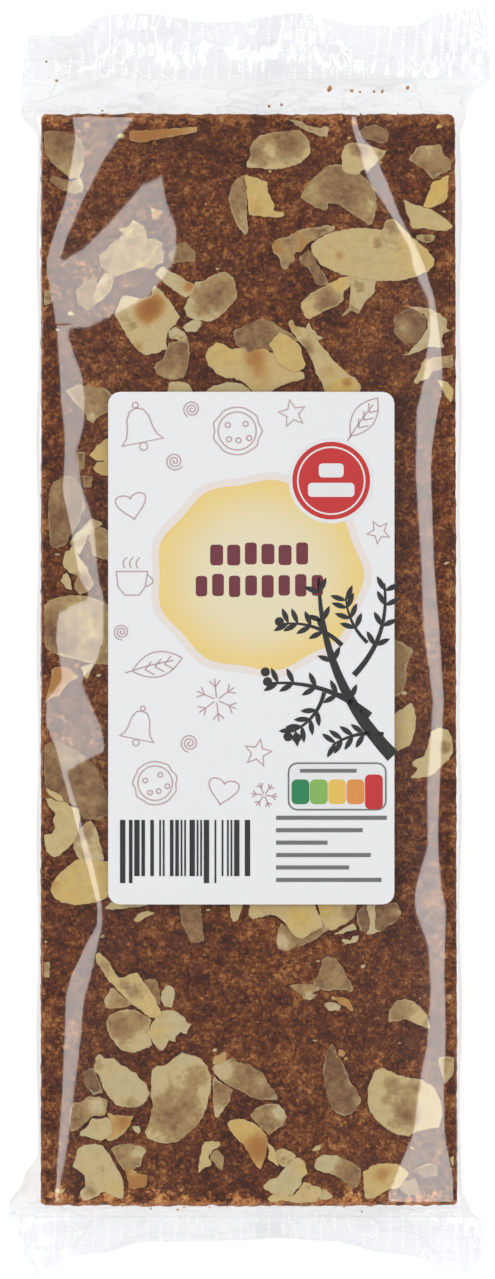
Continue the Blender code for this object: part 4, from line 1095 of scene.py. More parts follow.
nothing_selected()
crumbs = []
for x, y, size in TENT_CRUMBS:
    crumbs.append(make_crumb(x, y, TOP_TENT_Z if y > 0 else LOW_TENT_Z, size))
for number in range(END_COUNT):
    end = luck.choice((-1, 1))
    x = luck.uniform(-36, 36)
    y = end * luck.uniform(101.2, 102.4)
    crumbs.append(make_crumb(x, y, luck.uniform(2.0, 12.0), luck.uniform(0.25, 0.6)))
for number in range(DUST_COUNT):
    x = luck.uniform(-37, 37)
    y = luck.uniform(-99, 99)
    crumbs.append(make_crumb(x, y, BAR_TOP - crown(x) + 0.1, luck.uniform(0.25, 0.5)))
for x, y, size in CLUSTER:
    crumbs.append(make_crumb(x, y, BAR_TOP - 0.1, size))
biscuit_crumbs = joined("biscuit_crumbs", crumbs)
loose = Recipe("loose_crumb")
speckle = loose.grain(loose.place(), 900, 2.0, 0.5)
tan = loose.colours(speckle, linear(204, 130, 66), linear(240, 190, 132))
broken_dough = loose.coat({"Base Color": tan, "Roughness": 0.85})
hand_over(biscuit_crumbs, loose.finished(broken_dough), "filmed_biscuit")


# %% [markdown]
# ## The film's outline
#
# Seen from above, the film runs straight along the bar and spreads into ears where its ends are
# pressed flat. The numbers are the same as the CAD model's: for each end how far the film still
# falls (the tent), how high the fin leaves it, and where its edge runs.

# %% Outline of both ends
TOP_END = {
    "way": 1,
    "tent": 7.4,
    "fin_z": 7.5,
    "edge": (
        (-41.0, 116.1), (-34.5, 115.8), (-25.7, 120.4), (-20.4, 120.6), (-6.3, 118.7),
        (9.6, 120.7), (20.0, 118.1), (30.0, 118.0), (36.5, 120.7), (44.2, 122.0),
    ),
    "left": ((97.0, 39.4), (101.9, 42.5), (108.3, 42.4), (116.1, 41.0)),
    "right": ((97.0, 39.4), (102.5, 40.6), (105.5, 41.5), (108.3, 45.0), (122.0, 44.2)),
}
LOW_END = {
    "way": -1,
    "tent": 3.0,
    "fin_z": 6.0,
    "edge": (
        (-40.0, -114.4), (-28.0, -110.4), (-16.7, -107.8), (0.0, -107.4), (5.2, -106.9),
        (14.0, -107.5), (25.0, -110.2), (41.0, -114.2),
    ),
    "left": (
        (-114.4, 40.0), (-109.8, 42.6), (-105.9, 45.0), (-101.9, 44.7), (-96.3, 42.0), (-92.0, 39.4),
    ),
    "right": ((-114.2, 41.0), (-111.1, 43.3), (-105.4, 43.9), (-102.8, 41.5), (-98.1, 39.4)),
}
SIDE_RIPPLE = 0.2
SIDE_RIPPLE_LENGTH = 37.0
FILM_LOW = 0.3
TENT_CURVE = 1.3
PINCH = 0.3
EAR_SPAN = 4.0


def side_reach(side, y):
    """How far the film reaches from the middle line, y from the bar's middle."""
    end = TOP_END if y > 0 else LOW_END
    plain = BAR_WIDTH / 2 + FILM_SIDE
    phase = 1.0 if side == "left" else 0.0
    ripple = SIDE_RIPPLE * math.sin(2 * math.pi * y / SIDE_RIPPLE_LENGTH + phase)
    ear = between(end[side], y) - plain
    return plain + ripple * (ear < SIDE_RIPPLE) + max(ear, 0.0)


def film_levels(y):
    """Lowest and highest film at one place along the pack, and how open the tube is there."""
    end = TOP_END if y > 0 else LOW_END
    share = clamp((abs(y) - BAR_LENGTH / 2) / end["tent"])
    is_open = 1 - share**TENT_CURVE
    low = end["fin_z"] - PINCH / 2 + (FILM_LOW - end["fin_z"] + PINCH / 2) * is_open
    high = end["fin_z"] + PINCH / 2 + (FILM_TOP - end["fin_z"] - PINCH / 2) * is_open
    return low, high, is_open


print("film beside the bar's middle", round(side_reach("right", 0.0), 2), "mm out")


# %% [markdown]
# ## Where the film shines
#
# Film pulled round a bar isn't quite flat: long facets lie along both edges, tilted outwards by
# about two degrees, and these are the milky bands in the photograph. Their edges are given from
# the bar's middle as (y, inner x, outer x). The film's height comes from adding up the slope
# from the middle line outwards, so a facet is a real shape that shines from other sides too.

# %% Facets of the film over the bar
LEFT_BAND = (
    (-98.0, 35.5, 35.7), (-93.3, 34.3, 35.6), (-82.4, 32.8, 34.8), (-71.7, 31.5, 34.3),
    (-62.4, 30.6, 34.0), (-58.5, 29.4, 33.0), (-51.3, 27.8, 29.4), (-49.1, 27.2, 28.0),
    (-45.2, 27.4, 28.1), (-38.7, 28.7, 29.8), (-28.9, 31.5, 32.4), (-20.4, 34.1, 34.8),
    (-16.7, 26.5, 35.7), (-12.0, 27.6, 37.8), (-7.4, 29.8, 37.8), (-3.7, 31.3, 34.6),
    (-0.9, 28.5, 35.0), (3.7, 27.0, 35.9), (8.9, 26.9, 35.4), (11.7, 26.9, 29.1),
    (14.8, 27.8, 31.3), (25.7, 28.9, 33.3), (31.7, 30.9, 34.6), (38.3, 32.2, 34.1),
    (43.3, 30.7, 34.3), (48.0, 30.5, 34.9), (52.8, 31.1, 35.1), (57.0, 32.7, 35.4),
    (60.9, 33.9, 35.6), (73.7, 35.4, 37.7), (78.5, 33.8, 36.3), (85.7, 30.7, 33.9),
    (93.3, 26.5, 32.8), (96.7, 23.9, 32.2), (100.6, 21.1, 32.8),
)
RIGHT_BAND = (
    (-98.7, 25.9, 38.0), (-96.3, 26.9, 38.0), (-93.3, 28.1, 37.4), (-88.0, 30.4, 36.3),
    (-76.5, 32.0, 36.1), (-71.7, 33.1, 36.5), (-60.7, 33.9, 36.3), (-52.6, 33.3, 36.3),
    (-46.1, 30.9, 36.5), (-42.4, 30.9, 35.7), (-34.3, 33.3, 35.0), (-23.5, 33.1, 35.3),
    (-7.2, 34.2, 36.1), (6.7, 32.4, 35.2), (17.6, 32.0, 34.3), (33.9, 30.9, 33.7),
    (39.3, 31.0, 33.9), (46.3, 31.1, 35.0), (50.2, 32.2, 35.9), (57.4, 33.1, 35.7),
    (61.1, 33.7, 35.2), (66.9, 33.3, 34.4), (70.4, 31.5, 33.3), (73.3, 30.4, 32.4),
    (76.5, 29.9, 31.0), (82.0, 26.5, 28.0), (88.0, 22.4, 25.6), (90.7, 21.3, 24.4),
    (93.9, 20.6, 23.3), (97.2, 19.4, 20.4), (100.0, 18.9, 19.6),
)
# The broad facet near the far left corner, as (y, its right edge, its left edge)
SAIL = (
    (61.1, 35.2, 35.6), (62.0, 29.4, 35.8), (67.2, 18.5, 36.3), (72.4, 14.3, 37.8),
    (73.9, 13.7, 34.1), (75.9, 13.1, 30.7), (80.4, 13.2, 26.3), (84.6, 14.9, 22.6),
    (88.1, 15.6, 19.8), (90.0, 15.9, 16.1),
)
FACET_SLOPE = 0.036
EDGE_SLOPE = 0.085
SLACK = 0.012
PROFILE_STEP = 0.1
PROFILE_REACH = 40


def at_row(table, y):
    """A table's columns at one y, on straight lines between its rows, or None outside it."""
    if y < table[0][0] or y > table[-1][0]:
        return None
    for low, high in zip(table, table[1:]):
        if y <= high[0]:
            share = (y - low[0]) / (high[0] - low[0])
            return [a + (b - a) * share for a, b in zip(low[1:], high[1:])]
    return None


def film_profile(y, band, sail=()):
    """Height of the film over a row, every PROFILE_STEP mm outwards from the middle line."""
    inner, outer = at_row(band, clamp(y, band[0][0], band[-1][0]))
    right, left = (sail and at_row(sail, y)) or (0.0, 0.0)
    height = FILM_TOP
    heights = []
    for step in range(round(PROFILE_REACH / PROFILE_STEP)):
        out = step * PROFILE_STEP
        slope = 0.0
        if right < out <= left or inner < out <= outer:
            slope = -FACET_SLOPE
        elif out > outer:
            slope = -EDGE_SLOPE
        heights.append(height)
        height += slope * PROFILE_STEP
    return heights


print("film at the bar's edge", round(film_profile(0.0, LEFT_BAND)[-1], 2), "mm high")


# %% [markdown]
# ## The tube of film
#
# The real film is one flat web, folded round the bar and welded along its back. It is made the
# same way here: a flat grid whose one direction goes round the pack and whose other goes along
# it. Every point is moved to its place on the tube, the two long edges are merged in the back
# seam, and both ends are pinched almost shut in the roots of the fins.

# %% Grid wrapped round the bar
FLAT_STEPS = 150
FLANK_STEPS = 14
UNDER_STEPS = 14
BAR_STEPS = 250
LOW_STEPS = 12
TOP_STEPS = 22
SEAM_X = 3.6
FILM_FLAT = 38.3
SIDE_SQUARE = 3.2
EAR_SQUARE = 1.2
TENT_DEPTH = 0.9
MERGE_WITHIN = 0.004
HALF_BAR = BAR_LENGTH / 2
around = [("under", -share / UNDER_STEPS) for share in range(UNDER_STEPS + 1)]
around += [("left", step / FLANK_STEPS) for step in range(1, FLANK_STEPS)]
around += [("top", 2 * step / FLAT_STEPS - 1) for step in range(FLAT_STEPS + 1)]
around += [("right", 1 - step / FLANK_STEPS) for step in range(1, FLANK_STEPS)]
around += [("under", 1 - step / UNDER_STEPS) for step in range(UNDER_STEPS + 1)]
stations = [-HALF_BAR - LOW_END["tent"] * (1 - step / LOW_STEPS) for step in range(LOW_STEPS)]
stations += [-HALF_BAR + BAR_LENGTH * step / BAR_STEPS for step in range(BAR_STEPS + 1)]
stations += [HALF_BAR + TOP_END["tent"] * (step + 1) / TOP_STEPS for step in range(TOP_STEPS)]

nothing_selected()
bpy.ops.mesh.primitive_grid_add(
    x_subdivisions=len(around) - 1, y_subdivisions=len(stations) - 1, size=1.0
)
film = started("film_wrap")


def tent_crease(x, y, is_open):
    """Wrinkles of the slack film between the bar's end and a fin."""
    slack = 4 * is_open * (1 - is_open)
    fan = wave(x * 0.22, y * 0.25, 5.0) + 0.6 * wave(x * 0.7 + y * 0.5, y * 0.4, 8.0)
    fan += 1.2 * abs(wave(x * 0.3 - y * 0.45, y * 0.5, 14.0))
    fan -= abs(wave(x * 0.5 + y * 0.4, y * 0.7, 17.0))
    return TENT_DEPTH * slack * fan


def film_row(y):
    """All points of the tube at one station, in mm from the bar's middle line."""
    low, high, is_open = film_levels(y)
    reach = {side: side_reach(side, y) for side in ("left", "right")}
    plain = BAR_WIDTH / 2 + FILM_SIDE + SIDE_RIPPLE
    ear = {side: clamp((reach[side] - plain) / EAR_SPAN) for side in reach}
    flat = {side: FILM_FLAT + (BAR_WIDTH / 2 - FILM_FLAT) * ear[side] for side in reach}
    square = {side: SIDE_SQUARE + (EAR_SQUARE - SIDE_SQUARE) * ear[side] for side in reach}
    heights = {"left": film_profile(y, LEFT_BAND, SAIL), "right": film_profile(y, RIGHT_BAND)}

    def top_at(x):
        side = "right" if x > 0 else "left"
        place = min(abs(x) / PROFILE_STEP, len(heights[side]) - 2)
        step = int(place)
        here, ahead = heights[side][step : step + 2]
        level = here + (ahead - here) * (place - step)
        slack = SLACK * wave(x * 0.13, y * 0.035, 2.0)
        return high + (level - FILM_TOP + slack) * is_open + tent_crease(x, y, is_open)

    points = []
    for kind, share in around:
        side = kind if kind in flat else ("right" if share > 0 else "left")
        if kind == "under":
            edge = flat[side]
            x = SEAM_X + (math.copysign(edge, share) - SEAM_X) * abs(share)
            points.append((x, low + 0.4 * tent_crease(x, y + 30, is_open)))
        elif kind == "top":
            x = share * flat[side]
            points.append((x, top_at(x)))
        else:
            sign = 1 if side == "right" else -1
            turn = math.pi * share
            out = abs(math.sin(turn)) ** (2 / square[side])
            up = math.copysign(abs(math.cos(turn)) ** (2 / square[side]), -math.cos(turn))
            top = top_at(sign * flat[side])
            z = (low + top) / 2 + up * (top - low) / 2
            points.append((sign * (flat[side] + (reach[side] - flat[side]) * out), z))
    return points


columns = len(around)
for row, y in enumerate(stations):
    for column, (x, z) in enumerate(film_row(y)):
        film.data.vertices[row * columns + column].co = Vector((x, BAR_Y + y, z)) * MM
edited(
    film,
    (bpy.ops.mesh.remove_doubles, {"threshold": MERGE_WITHIN * MM}),
    (bpy.ops.mesh.fill_holes, {"sides": 0}),
    (bpy.ops.mesh.normals_make_consistent, {"inside": False}),
)
smooth_faces(film)
print(len(film.data.vertices), "points in the film")


# %% [markdown]
# ## The fins
#
# Hot jaws press the film's ends flat and leave fine ribs across the weld. A fin is stiff and
# slightly too wide for its weld, so it also buckles in pleats, creases and dents, and curls up.
# It is a fine grid again, pushed about at right angles to its own slope, and a Solidify modifier
# gives it the thickness of the two layers. The ribs are finer than any useful grid, so they are
# left to the finish.

# %% Pleated fins
FIN_WIDTH = 12.0
FIN_CURL = 1.3
CURL_POWER = 1.6
FIN_THICK = 0.12
FIN_STEP = 0.25
FIN_ROWS = 34
ROOT_SHARE = 0.3
PLEAT_PITCH = 2.5
PLEAT_HEIGHT = 0.07
CREASE_HEIGHT = 0.045
DENT_HEIGHT = 0.13


def fin_point(end, across, share):
    """A point of a fin, before its pleats, with its slope, in mm from the bar's middle."""
    root = BAR_LENGTH / 2 + end["tent"]
    edge = end["edge"]
    tip_x = edge[0][0] + (edge[-1][0] - edge[0][0]) * across
    plan = abs(between(edge, tip_x)) - root
    rise = FIN_CURL * max(FIN_WIDTH - plan, 0.0)
    y = root + plan * share
    left = -side_reach("left", end["way"] * y)
    right = side_reach("right", end["way"] * y)
    slope = Vector((plan, rise * CURL_POWER * share ** (CURL_POWER - 1))).normalized()
    return left + (right - left) * across, y, end["fin_z"] + rise * share**CURL_POWER, slope


def crimp(x, y, seed):
    """Height of the weld's pattern at one place: narrow pleats, sharp creases and soft dents."""
    sway = 1.6 * wave(x * 0.1, y * 0.22, seed + 3)
    pleat = (0.5 + 0.5 * math.cos(2 * math.pi * (x + sway) / PLEAT_PITCH)) ** 4
    firm = clamp(0.35 + 1.6 * wave(x * 0.13, y * 0.45, seed + 6))
    crease = clamp(1 - abs(wave(x * 0.3, y * 0.35, seed + 9)) / 0.2) ** 2
    loose = clamp(0.2 + 1.4 * wave(x * 0.09, y * 0.15, seed + 12))
    dent = DENT_HEIGHT * loose * wave(x * 0.5, y * 0.55, seed + 15)
    return PLEAT_HEIGHT * pleat * firm + CREASE_HEIGHT * crease * loose + dent


def make_fin(name, end):
    """One fin as a fine grid with pleats, creases and dents."""
    width = end["edge"][-1][0] - end["edge"][0][0]
    steps = round(width / FIN_STEP)
    nothing_selected()
    bpy.ops.mesh.primitive_grid_add(x_subdivisions=steps, y_subdivisions=FIN_ROWS, size=1.0)
    fin = started(name)
    seed = 11.0 * end["way"]
    for row in range(FIN_ROWS + 1):
        share = row / FIN_ROWS
        for column in range(steps + 1):
            x, y, z, slope = fin_point(end, column / steps, share)
            lift = clamp(share / ROOT_SHARE) * crimp(x, y, seed)
            y -= lift * slope.y
            z += lift * slope.x
            place = Vector((x, BAR_Y + end["way"] * y, z)) * MM
            fin.data.vertices[row * (steps + 1) + column].co = place
    edited(fin, (bpy.ops.mesh.normals_make_consistent, {"inside": False}))
    applied(fin, "SOLIDIFY", thickness=FIN_THICK * MM, offset=0.0)
    edited(fin, (bpy.ops.mesh.normals_make_consistent, {"inside": False}))
    print(name, len(fin.data.vertices), "points")
    return smooth_faces(fin, 70)


fin_top = make_fin("film_fin_top", TOP_END)
fin_low = make_fin("film_fin_low", LOW_END)

# %% [markdown]
# The back seam is where the web's two edges are welded: a strip five millimetres wide, laid
# flat against the back, that shows faintly through the clear ends.

# %% Back seam
SEAM_WIDTH = 5.0
SEAM_GAP = 0.12
SEAM_THICK = 0.06
SEAM_COLUMNS = 7
SEAM_END_STEPS = 12
SEAM_END = 0.98
SEAM_DROP = 0.35
MID_FIN = 112.0
seam_rows = [(-1, 1 - step / SEAM_END_STEPS) for step in range(SEAM_END_STEPS)]
seam_rows += [(0, y) for y in stations]
seam_rows += [(1, (step + 1) / SEAM_END_STEPS) for step in range(SEAM_END_STEPS)]


def seam_point(x, way, value):
    """A seam point's y and z: on the tube where way is 0, or a share out along a fin."""
    if way == 0:
        return value, film_levels(value)[0]
    left = side_reach("left", way * MID_FIN)
    across = (x + left) / (left + side_reach("right", way * MID_FIN))
    end = TOP_END if way > 0 else LOW_END
    y, z = fin_point(end, across, value * SEAM_END)[1:3]
    return y * way, z - SEAM_DROP


nothing_selected()
bpy.ops.mesh.primitive_grid_add(
    x_subdivisions=SEAM_COLUMNS - 1, y_subdivisions=len(seam_rows) - 1, size=1.0
)
seam = started("film_back_seam")
for row, (way, value) in enumerate(seam_rows):
    for column in range(SEAM_COLUMNS):
        x = SEAM_X + SEAM_WIDTH * (column / (SEAM_COLUMNS - 1) - 0.5)
        y, z = seam_point(x, way, value)
        place = Vector((x, BAR_Y + y, z - SEAM_GAP)) * MM
        seam.data.vertices[row * SEAM_COLUMNS + column].co = place
applied(seam, "SOLIDIFY", thickness=SEAM_THICK * MM, offset=0.0)
edited(seam, (bpy.ops.mesh.normals_make_consistent, {"inside": False}))
smooth_faces(seam, 60)
print(len(seam_rows), "rows in the seam")

# %% [markdown]
# ## Clear film as a material
#
# Film is so thin that light passes straight through, which a Transparent shader does, and a
# little is mirrored, under a tenth face on and far more at a slant. Schlick's rule gives that
# share from how far the surface turns away, and it is the factor between the two shaders. Film
# at a slant also dims what lies behind it. Fine folds cross the loose ends as lines of darker
# film, partly the double film of a crease and partly painted shade. A weld gets painted glints
# in columns of dots and short curls, which are patches of untinted film. Steep film would mirror
# the dark bar in the fins and the seam, so these mirror less than the wrap does.

# %% Clear film
FACE_ON_ENDS = 0.03
# A wave texture repeats every 0.314 / scale metres
COLUMN_SCALE = 0.314 / 0.0025
RIB_SCALE = 0.314 / 0.00075
MIRROR_TINT = (0.98, 0.96, 0.935)
# Untinted film for the painted glints of a weld
PAINTED_GLINT_TINT = (1.0, 1.0, 1.0)
SLANT_SHADE = 0.75
# Darker film along fold lines past the bar's ends: partly the double film of a crease, partly painted shade
FOLD_SHADE = 0.9
WELD_SHADE = 0.968
FOLD_STRETCH = {"Rotation": (0.0, 0.0, 0.3), "Scale": (0.55, 1.3, 1.0)}


def crease_lines(recipe, spot, scale, thin, thick, detail=1.0):
    """1 on the winding lines where a noise passes its middle value, and 0 beside them."""
    return 1 - abs(recipe.grain(spot, scale, detail) - 0.5).step(thin, thick)


def wavy_bands(recipe, spot, way, scale, distortion, detail):
    """Wavy bands across one direction."""
    sockets = {"Vector": spot, "Scale": scale, "Distortion": distortion, "Detail": detail}
    return recipe.add("ShaderNodeTexWave", {"bands_direction": way}, sockets)["Fac"]


def painted_weld_glints(recipe, spot):
    """Where a weld gets painted glints: columns of dots between the ribs, and short crisp curls."""
    columns = wavy_bands(recipe, spot, "X", COLUMN_SCALE, 2.5, 2.0).step(0.86, 0.99)
    ribs = wavy_bands(recipe, spot, "Y", RIB_SCALE, 1.5, 1.0).step(0.25, 0.7)
    dots = columns * (ribs * 0.8 + 0.2) * recipe.grain(spot, 120).step(0.4, 0.54)
    curls = crease_lines(recipe, spot, 360, 0.008, 0.024) * recipe.grain(spot, 170).step(0.5, 0.6)
    return (dots + curls).held()


def end_fold_painted_shade(recipe, spot):
    """Fine folds that cross the loose film, most of them along it, where the film is darker: partly the
    double film of a crease, partly painted shade.
    """
    skewed = recipe.add("ShaderNodeMapping", None, {"Vector": spot, **FOLD_STRETCH})["Vector"]
    folds = crease_lines(recipe, skewed, 95, 0.0, 0.016, 2.0) * 0.8
    folds = folds + recipe.grain(skewed, 140, 2.0).step(0.5, 0.62) * 0.5
    return (folds + crease_lines(recipe, spot, 150, 0.0, 0.012, 2.0) * 0.5).held()


def clear_film(name, tint, face_on, at_slant, dimming, ends=None, welded=False):
    """A clear film: a mirror that is mostly see-through, with its own tint past the bar's ends."""
    recipe = Recipe(name)

    def blend(share, first, second):
        return recipe.add("ShaderNodeMixShader", None, {0: share, 1: first, 2: second})["Shader"]

    def see_through(colour, shade=1.0):
        shaded = tuple(value * shade for value in colour)
        return recipe.add("ShaderNodeBsdfTransparent", None, {"Color": shaded})["BSDF"]

    facing = recipe.add("ShaderNodeLayerWeight", None, {"Blend": 0.5})["Facing"]
    slant = facing * facing * facing * facing * facing
    dimmed = facing.step(0.2, 0.95) * dimming
    through = blend(dimmed, see_through(tint), see_through(tint, SLANT_SHADE))
    if ends:
        spot = recipe.place()
        out = abs(recipe.add("ShaderNodeSeparateXYZ", None, {0: spot})["Y"] - BAR_Y * MM)
        past_bar = out.step((BAR_LENGTH / 2 + 0.1) * MM, (BAR_LENGTH / 2 + 0.9) * MM)
        # Fold lines: darker film, partly double film and partly painted shade
        folded = see_through(ends, WELD_SHADE if welded else FOLD_SHADE)
        loose_end = blend(end_fold_painted_shade(recipe, spot), see_through(ends), folded)
        # Painted glints: patches of untinted film in the weld's dots and curls
        if welded:
            loose_end = blend(painted_weld_glints(recipe, spot), loose_end, see_through(PAINTED_GLINT_TINT))
        through = blend(past_bar, through, loose_end)
        face_on = face_on - past_bar * (face_on - FACE_ON_ENDS)
    mirrored = (slant * (1 - face_on) * at_slant + face_on).held()
    mirror = recipe.coat({"Base Color": MIRROR_TINT, "Metallic": 0.9, "Roughness": 0.07})
    return recipe.finished(blend(mirrored, through, mirror))


WRAP_TINT = (0.976, 0.979, 0.984)
END_TINT = (0.963, 0.968, 0.977)
FIN_TINT = (0.94, 0.947, 0.958)
LOW_FIN_TINT = (0.952, 0.963, 0.977)
SEAM_TINT = (0.992, 0.992, 0.993)
wrap_film = clear_film("clear_film", WRAP_TINT, 0.08, 1.0, 0.45, END_TINT)
fin_film = clear_film("crimped_film", FIN_TINT, 0.035, 0.5, 0.2, FIN_TINT, True)
low_fin_film = clear_film("crimped_film_low", LOW_FIN_TINT, 0.02, 0.06, 0.0, LOW_FIN_TINT, True)
seam_film = clear_film("welded_film", SEAM_TINT, 0.01, 0.05, 0.0)
hand_over(film, wrap_film, "filmed_biscuit", "film_pack")
hand_over(fin_top, fin_film, "filmed_biscuit", "film_pack")
hand_over(fin_low, low_fin_film, "filmed_biscuit", "film_pack")
hand_over(seam, seam_film, "filmed_biscuit", "film_pack")

# %% [markdown]
# ## The label
#
# The label is a paper sticker. The CAD plate already has its shape, so it stays and only gets a
# paper finish. Ink on paper has no height that the eye can see, but a thin piece for each ink,
# laid a few hundredths of a millimetre apart, prints sharper than any texture and needs no
# picture. The design is a plain one of fields, stripes and outline motifs.

# %% Label paper
paper = Recipe("label_paper")
fibres = paper.grain(paper.place(), 2500, 3.0, 0.6)
paper_white = paper.colours(fibres, linear(250, 250, 251), linear(255, 255, 255))
label_paper = paper.finished(paper.coat({"Base Color": paper_white, "Roughness": 0.4}))
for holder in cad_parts["label"].material_slots:
    holder.material = label_paper
print("label paper", label_paper.name)

# %% Printing with shapes and lines
INK_STEP = 0.02
INK_THICK = 0.012
INK_MERGE = 0.002
CUT_EVERY = 3
CUT_REACH = 24
inks = {}


def shape(ink, layer, points):
    """A filled shape of one ink, its corners in mm from the label's middle."""
    nothing_selected()
    bpy.ops.mesh.primitive_circle_add(vertices=len(points), fill_type="NGON")
    patch = bpy.context.object
    for vertex, (u, v) in zip(patch.data.vertices, points):
        vertex.co = Vector((u, v, INK_STEP * layer)) * MM
    inks.setdefault(ink, []).append(patch)


def line(ink, layer, path, width, tip=None, closed=False):
    """A stroke along a path, as wide as width at its start and tip at its end."""
    path = [Vector(point) for point in path]
    if closed:
        path.append(path[0])
    last = len(path) - 1
    nothing_selected()
    bpy.ops.mesh.primitive_grid_add(x_subdivisions=last, y_subdivisions=1, size=1.0)
    stroke = bpy.context.object
    for number, here in enumerate(path):
        before = path[number - 1] if number else (path[-2] if closed else here)
        after = path[number + 1] if number < last else (path[1] if closed else here)
        run = (here - before).normalized() + (after - here).normalized()
        is_end = not closed and number in (0, last)
        miter = 1.0 if is_end else 1 / max(run.length / 2, 0.5)
        half = (width + ((width if tip is None else tip) - width) * number / last) / 2 * miter
        for row, way in enumerate((-half, half)):
            edge = here + run.normalized().orthogonal() * way
            place = Vector((edge.x, edge.y, INK_STEP * layer)) * MM
            stroke.data.vertices[row * (last + 1) + number].co = place
    inks.setdefault(ink, []).append(stroke)


def ring(u, v, half, tall=None, count=28, turn=0.0):
    """Points of a circle or an ellipse."""
    tall = half if tall is None else tall
    steps = (turn + 2 * math.pi * step / count for step in range(count))
    return [(u + half * math.cos(angle), v + tall * math.sin(angle)) for angle in steps]


def rounded(u, v, wide, high, radius):
    """Points of a rectangle with round corners."""
    points = []
    for corner, (right, up) in enumerate(((1, 1), (-1, 1), (-1, -1), (1, -1))):
        for step in range(5):
            angle = math.pi / 2 * (corner + step / 4)
            x = u + right * (wide / 2 - radius) + radius * math.cos(angle)
            y = v + up * (high / 2 - radius) + radius * math.sin(angle)
            points.append((x, y))
    return points


def arc(start, end, bend, count=10):
    """Points from start to end, bowed sideways by bend times its length."""
    start, end = Vector(start), Vector(end)
    side = (end - start).orthogonal() * bend
    shares = [step / count for step in range(count + 1)]
    return [start + (end - start) * share + side * 4 * share * (1 - share) for share in shares]


def printed(ink, finish):
    """All shapes of one ink as one thin piece that follows the label's curve."""
    piece = joined("ink_" + ink, inks[ink])
    steps = [(bpy.ops.mesh.remove_doubles, {"threshold": INK_MERGE * MM})]
    for cut in range(-CUT_REACH, CUT_REACH + 1, CUT_EVERY):
        steps.append((bpy.ops.mesh.select_all, {"action": "SELECT"}))
        steps.append((bpy.ops.mesh.bisect, {"plane_co": (cut * MM, 0, 0), "plane_no": (1, 0, 0)}))
    edited(piece, *steps)
    top = label_high.z / MM
    for vertex in piece.data.vertices:
        x = vertex.co.x / MM + LABEL_X
        vertex.co = Vector((x, vertex.co.y / MM + LABEL_Y, top - crown(x) + vertex.co.z / MM)) * MM
    applied(piece, "SOLIDIFY", thickness=INK_THICK * MM, offset=0.0)
    edited(piece, (bpy.ops.mesh.normals_make_consistent, {"inside": False}))
    hand_over(piece, finish, "label_paper")


INK_ROUGH = 0.42


def plain_ink(ink, colour):
    """A flat printing ink, a little uneven as ink on paper is."""
    recipe = Recipe("ink_" + ink)
    uneven = recipe.grain(recipe.place(), 3000, 2.0, 0.5)
    tint = recipe.colours(uneven, tuple(value * 0.93 for value in colour), colour)
    printed(ink, recipe.finished(recipe.coat({"Base Color": tint, "Roughness": INK_ROUGH})))


# %% [markdown]
# The middle of the design is a pale yellow field with a scalloped edge, two rows of dark red
# blocks, and a red seal. A leafy sprig grows in from the right, over a panel of five coloured
# fields. Dark stripes of uneven width and a few grey rows fill the foot.

# %% Fields, seal and blocks
FIELD = (1.5, 13.5)
HALO_SIZE = (20.3, 18.8)
CREAM_SIZE = (18.9, 17.4)
LOBES = 9
LOBE_DEPTH = 0.025
FIELD_STEPS = 126
SEAL = (14.8, 31.0)
BLOCK_ROWS = ((6, 19.0, 17.4), (8, 24.5, 11.6))
BLOCK_SEED = 4
for ink, layer, (wide, high) in (("halo", 1, HALO_SIZE), ("cream", 2, CREAM_SIZE)):
    field_edge = []
    for step in range(FIELD_STEPS):
        angle = 2 * math.pi * step / FIELD_STEPS
        reach = 1 + LOBE_DEPTH * math.cos(LOBES * angle)
        u = FIELD[0] + wide * reach * math.cos(angle)
        field_edge.append((u, FIELD[1] + high * reach * math.sin(angle)))
    shape(ink, layer, field_edge)
shape("white", 3, ring(*SEAL, 7.9, count=48))
shape("red", 4, ring(*SEAL, 7.2, count=48))
line("white", 5, ring(*SEAL, 6.2, count=40), 0.3, closed=True)
shape("white", 5, rounded(SEAL[0], SEAL[1] + 1.9, 4.6, 2.6, 0.7))
shape("white", 5, rounded(SEAL[0], SEAL[1] - 1.7, 8.6, 2.6, 0.7))
blocks = random.Random(BLOCK_SEED)
for count, wide, v in BLOCK_ROWS:
    pitch = wide / count
    for number in range(count):
        u = FIELD[0] + (number + 0.5 - count / 2) * pitch
        block_wide = pitch - blocks.uniform(0.7, 1.0)
        lifted = v + blocks.uniform(-0.2, 0.2)
        shape("maroon", 3, rounded(u, lifted, block_wide, blocks.uniform(3.6, 4.2), 0.6))
print(len(inks["maroon"]), "blocks")

# %% Sprig
TWIGS = (
    ((26.2, -20.0), (12.5, 13.0), 0.10, 2.6, 0.5),
    ((22.0, -12.5), (3.5, -6.5), -0.10, 1.3, 0.4),
    ((19.0, -5.0), (24.6, 12.0), -0.12, 1.1, 0.4),
    ((16.8, 0.5), (6.0, 4.5), -0.12, 0.9, 0.35),
    ((13.5, -8.2), (7.5, -15.5), 0.12, 0.8, 0.35),
    ((21.5, 1.0), (17.5, 9.5), 0.1, 0.7, 0.3),
    ((24.5, -16.0), (15.0, -18.0), -0.1, 0.9, 0.35),
)
LEAVES = 4
LEAF_LONG = 3.1
LEAF_BOW = 0.16
BUDS = ((3.0, -6.2), (2.6, -4.4), (5.2, 4.9), (6.8, -16.4), (8.4, -16.6))
for start, end, bend, wide, tip in TWIGS:
    path = arc(start, end, bend, 14)
    line("black", 3, path, wide, tip)
    ahead = (path[-1] - path[0]).normalized()
    for number in range(1, LEAVES + 1):
        place = path[3 + round(number * 10 / LEAVES)]
        for way in (-1, 1):
            out = (ahead * 0.75 + ahead.orthogonal() * way * 0.8).normalized()
            blade = place + out * LEAF_LONG
            leaf_edge = arc(place, blade, LEAF_BOW, 6) + arc(blade, place, LEAF_BOW, 6)[1:-1]
            shape("black", 4, leaf_edge)
for u, v in BUDS:
    shape("black", 5, ring(u, v, 0.85, count=16))
print(len(inks["black"]), "twigs, leaves and buds")

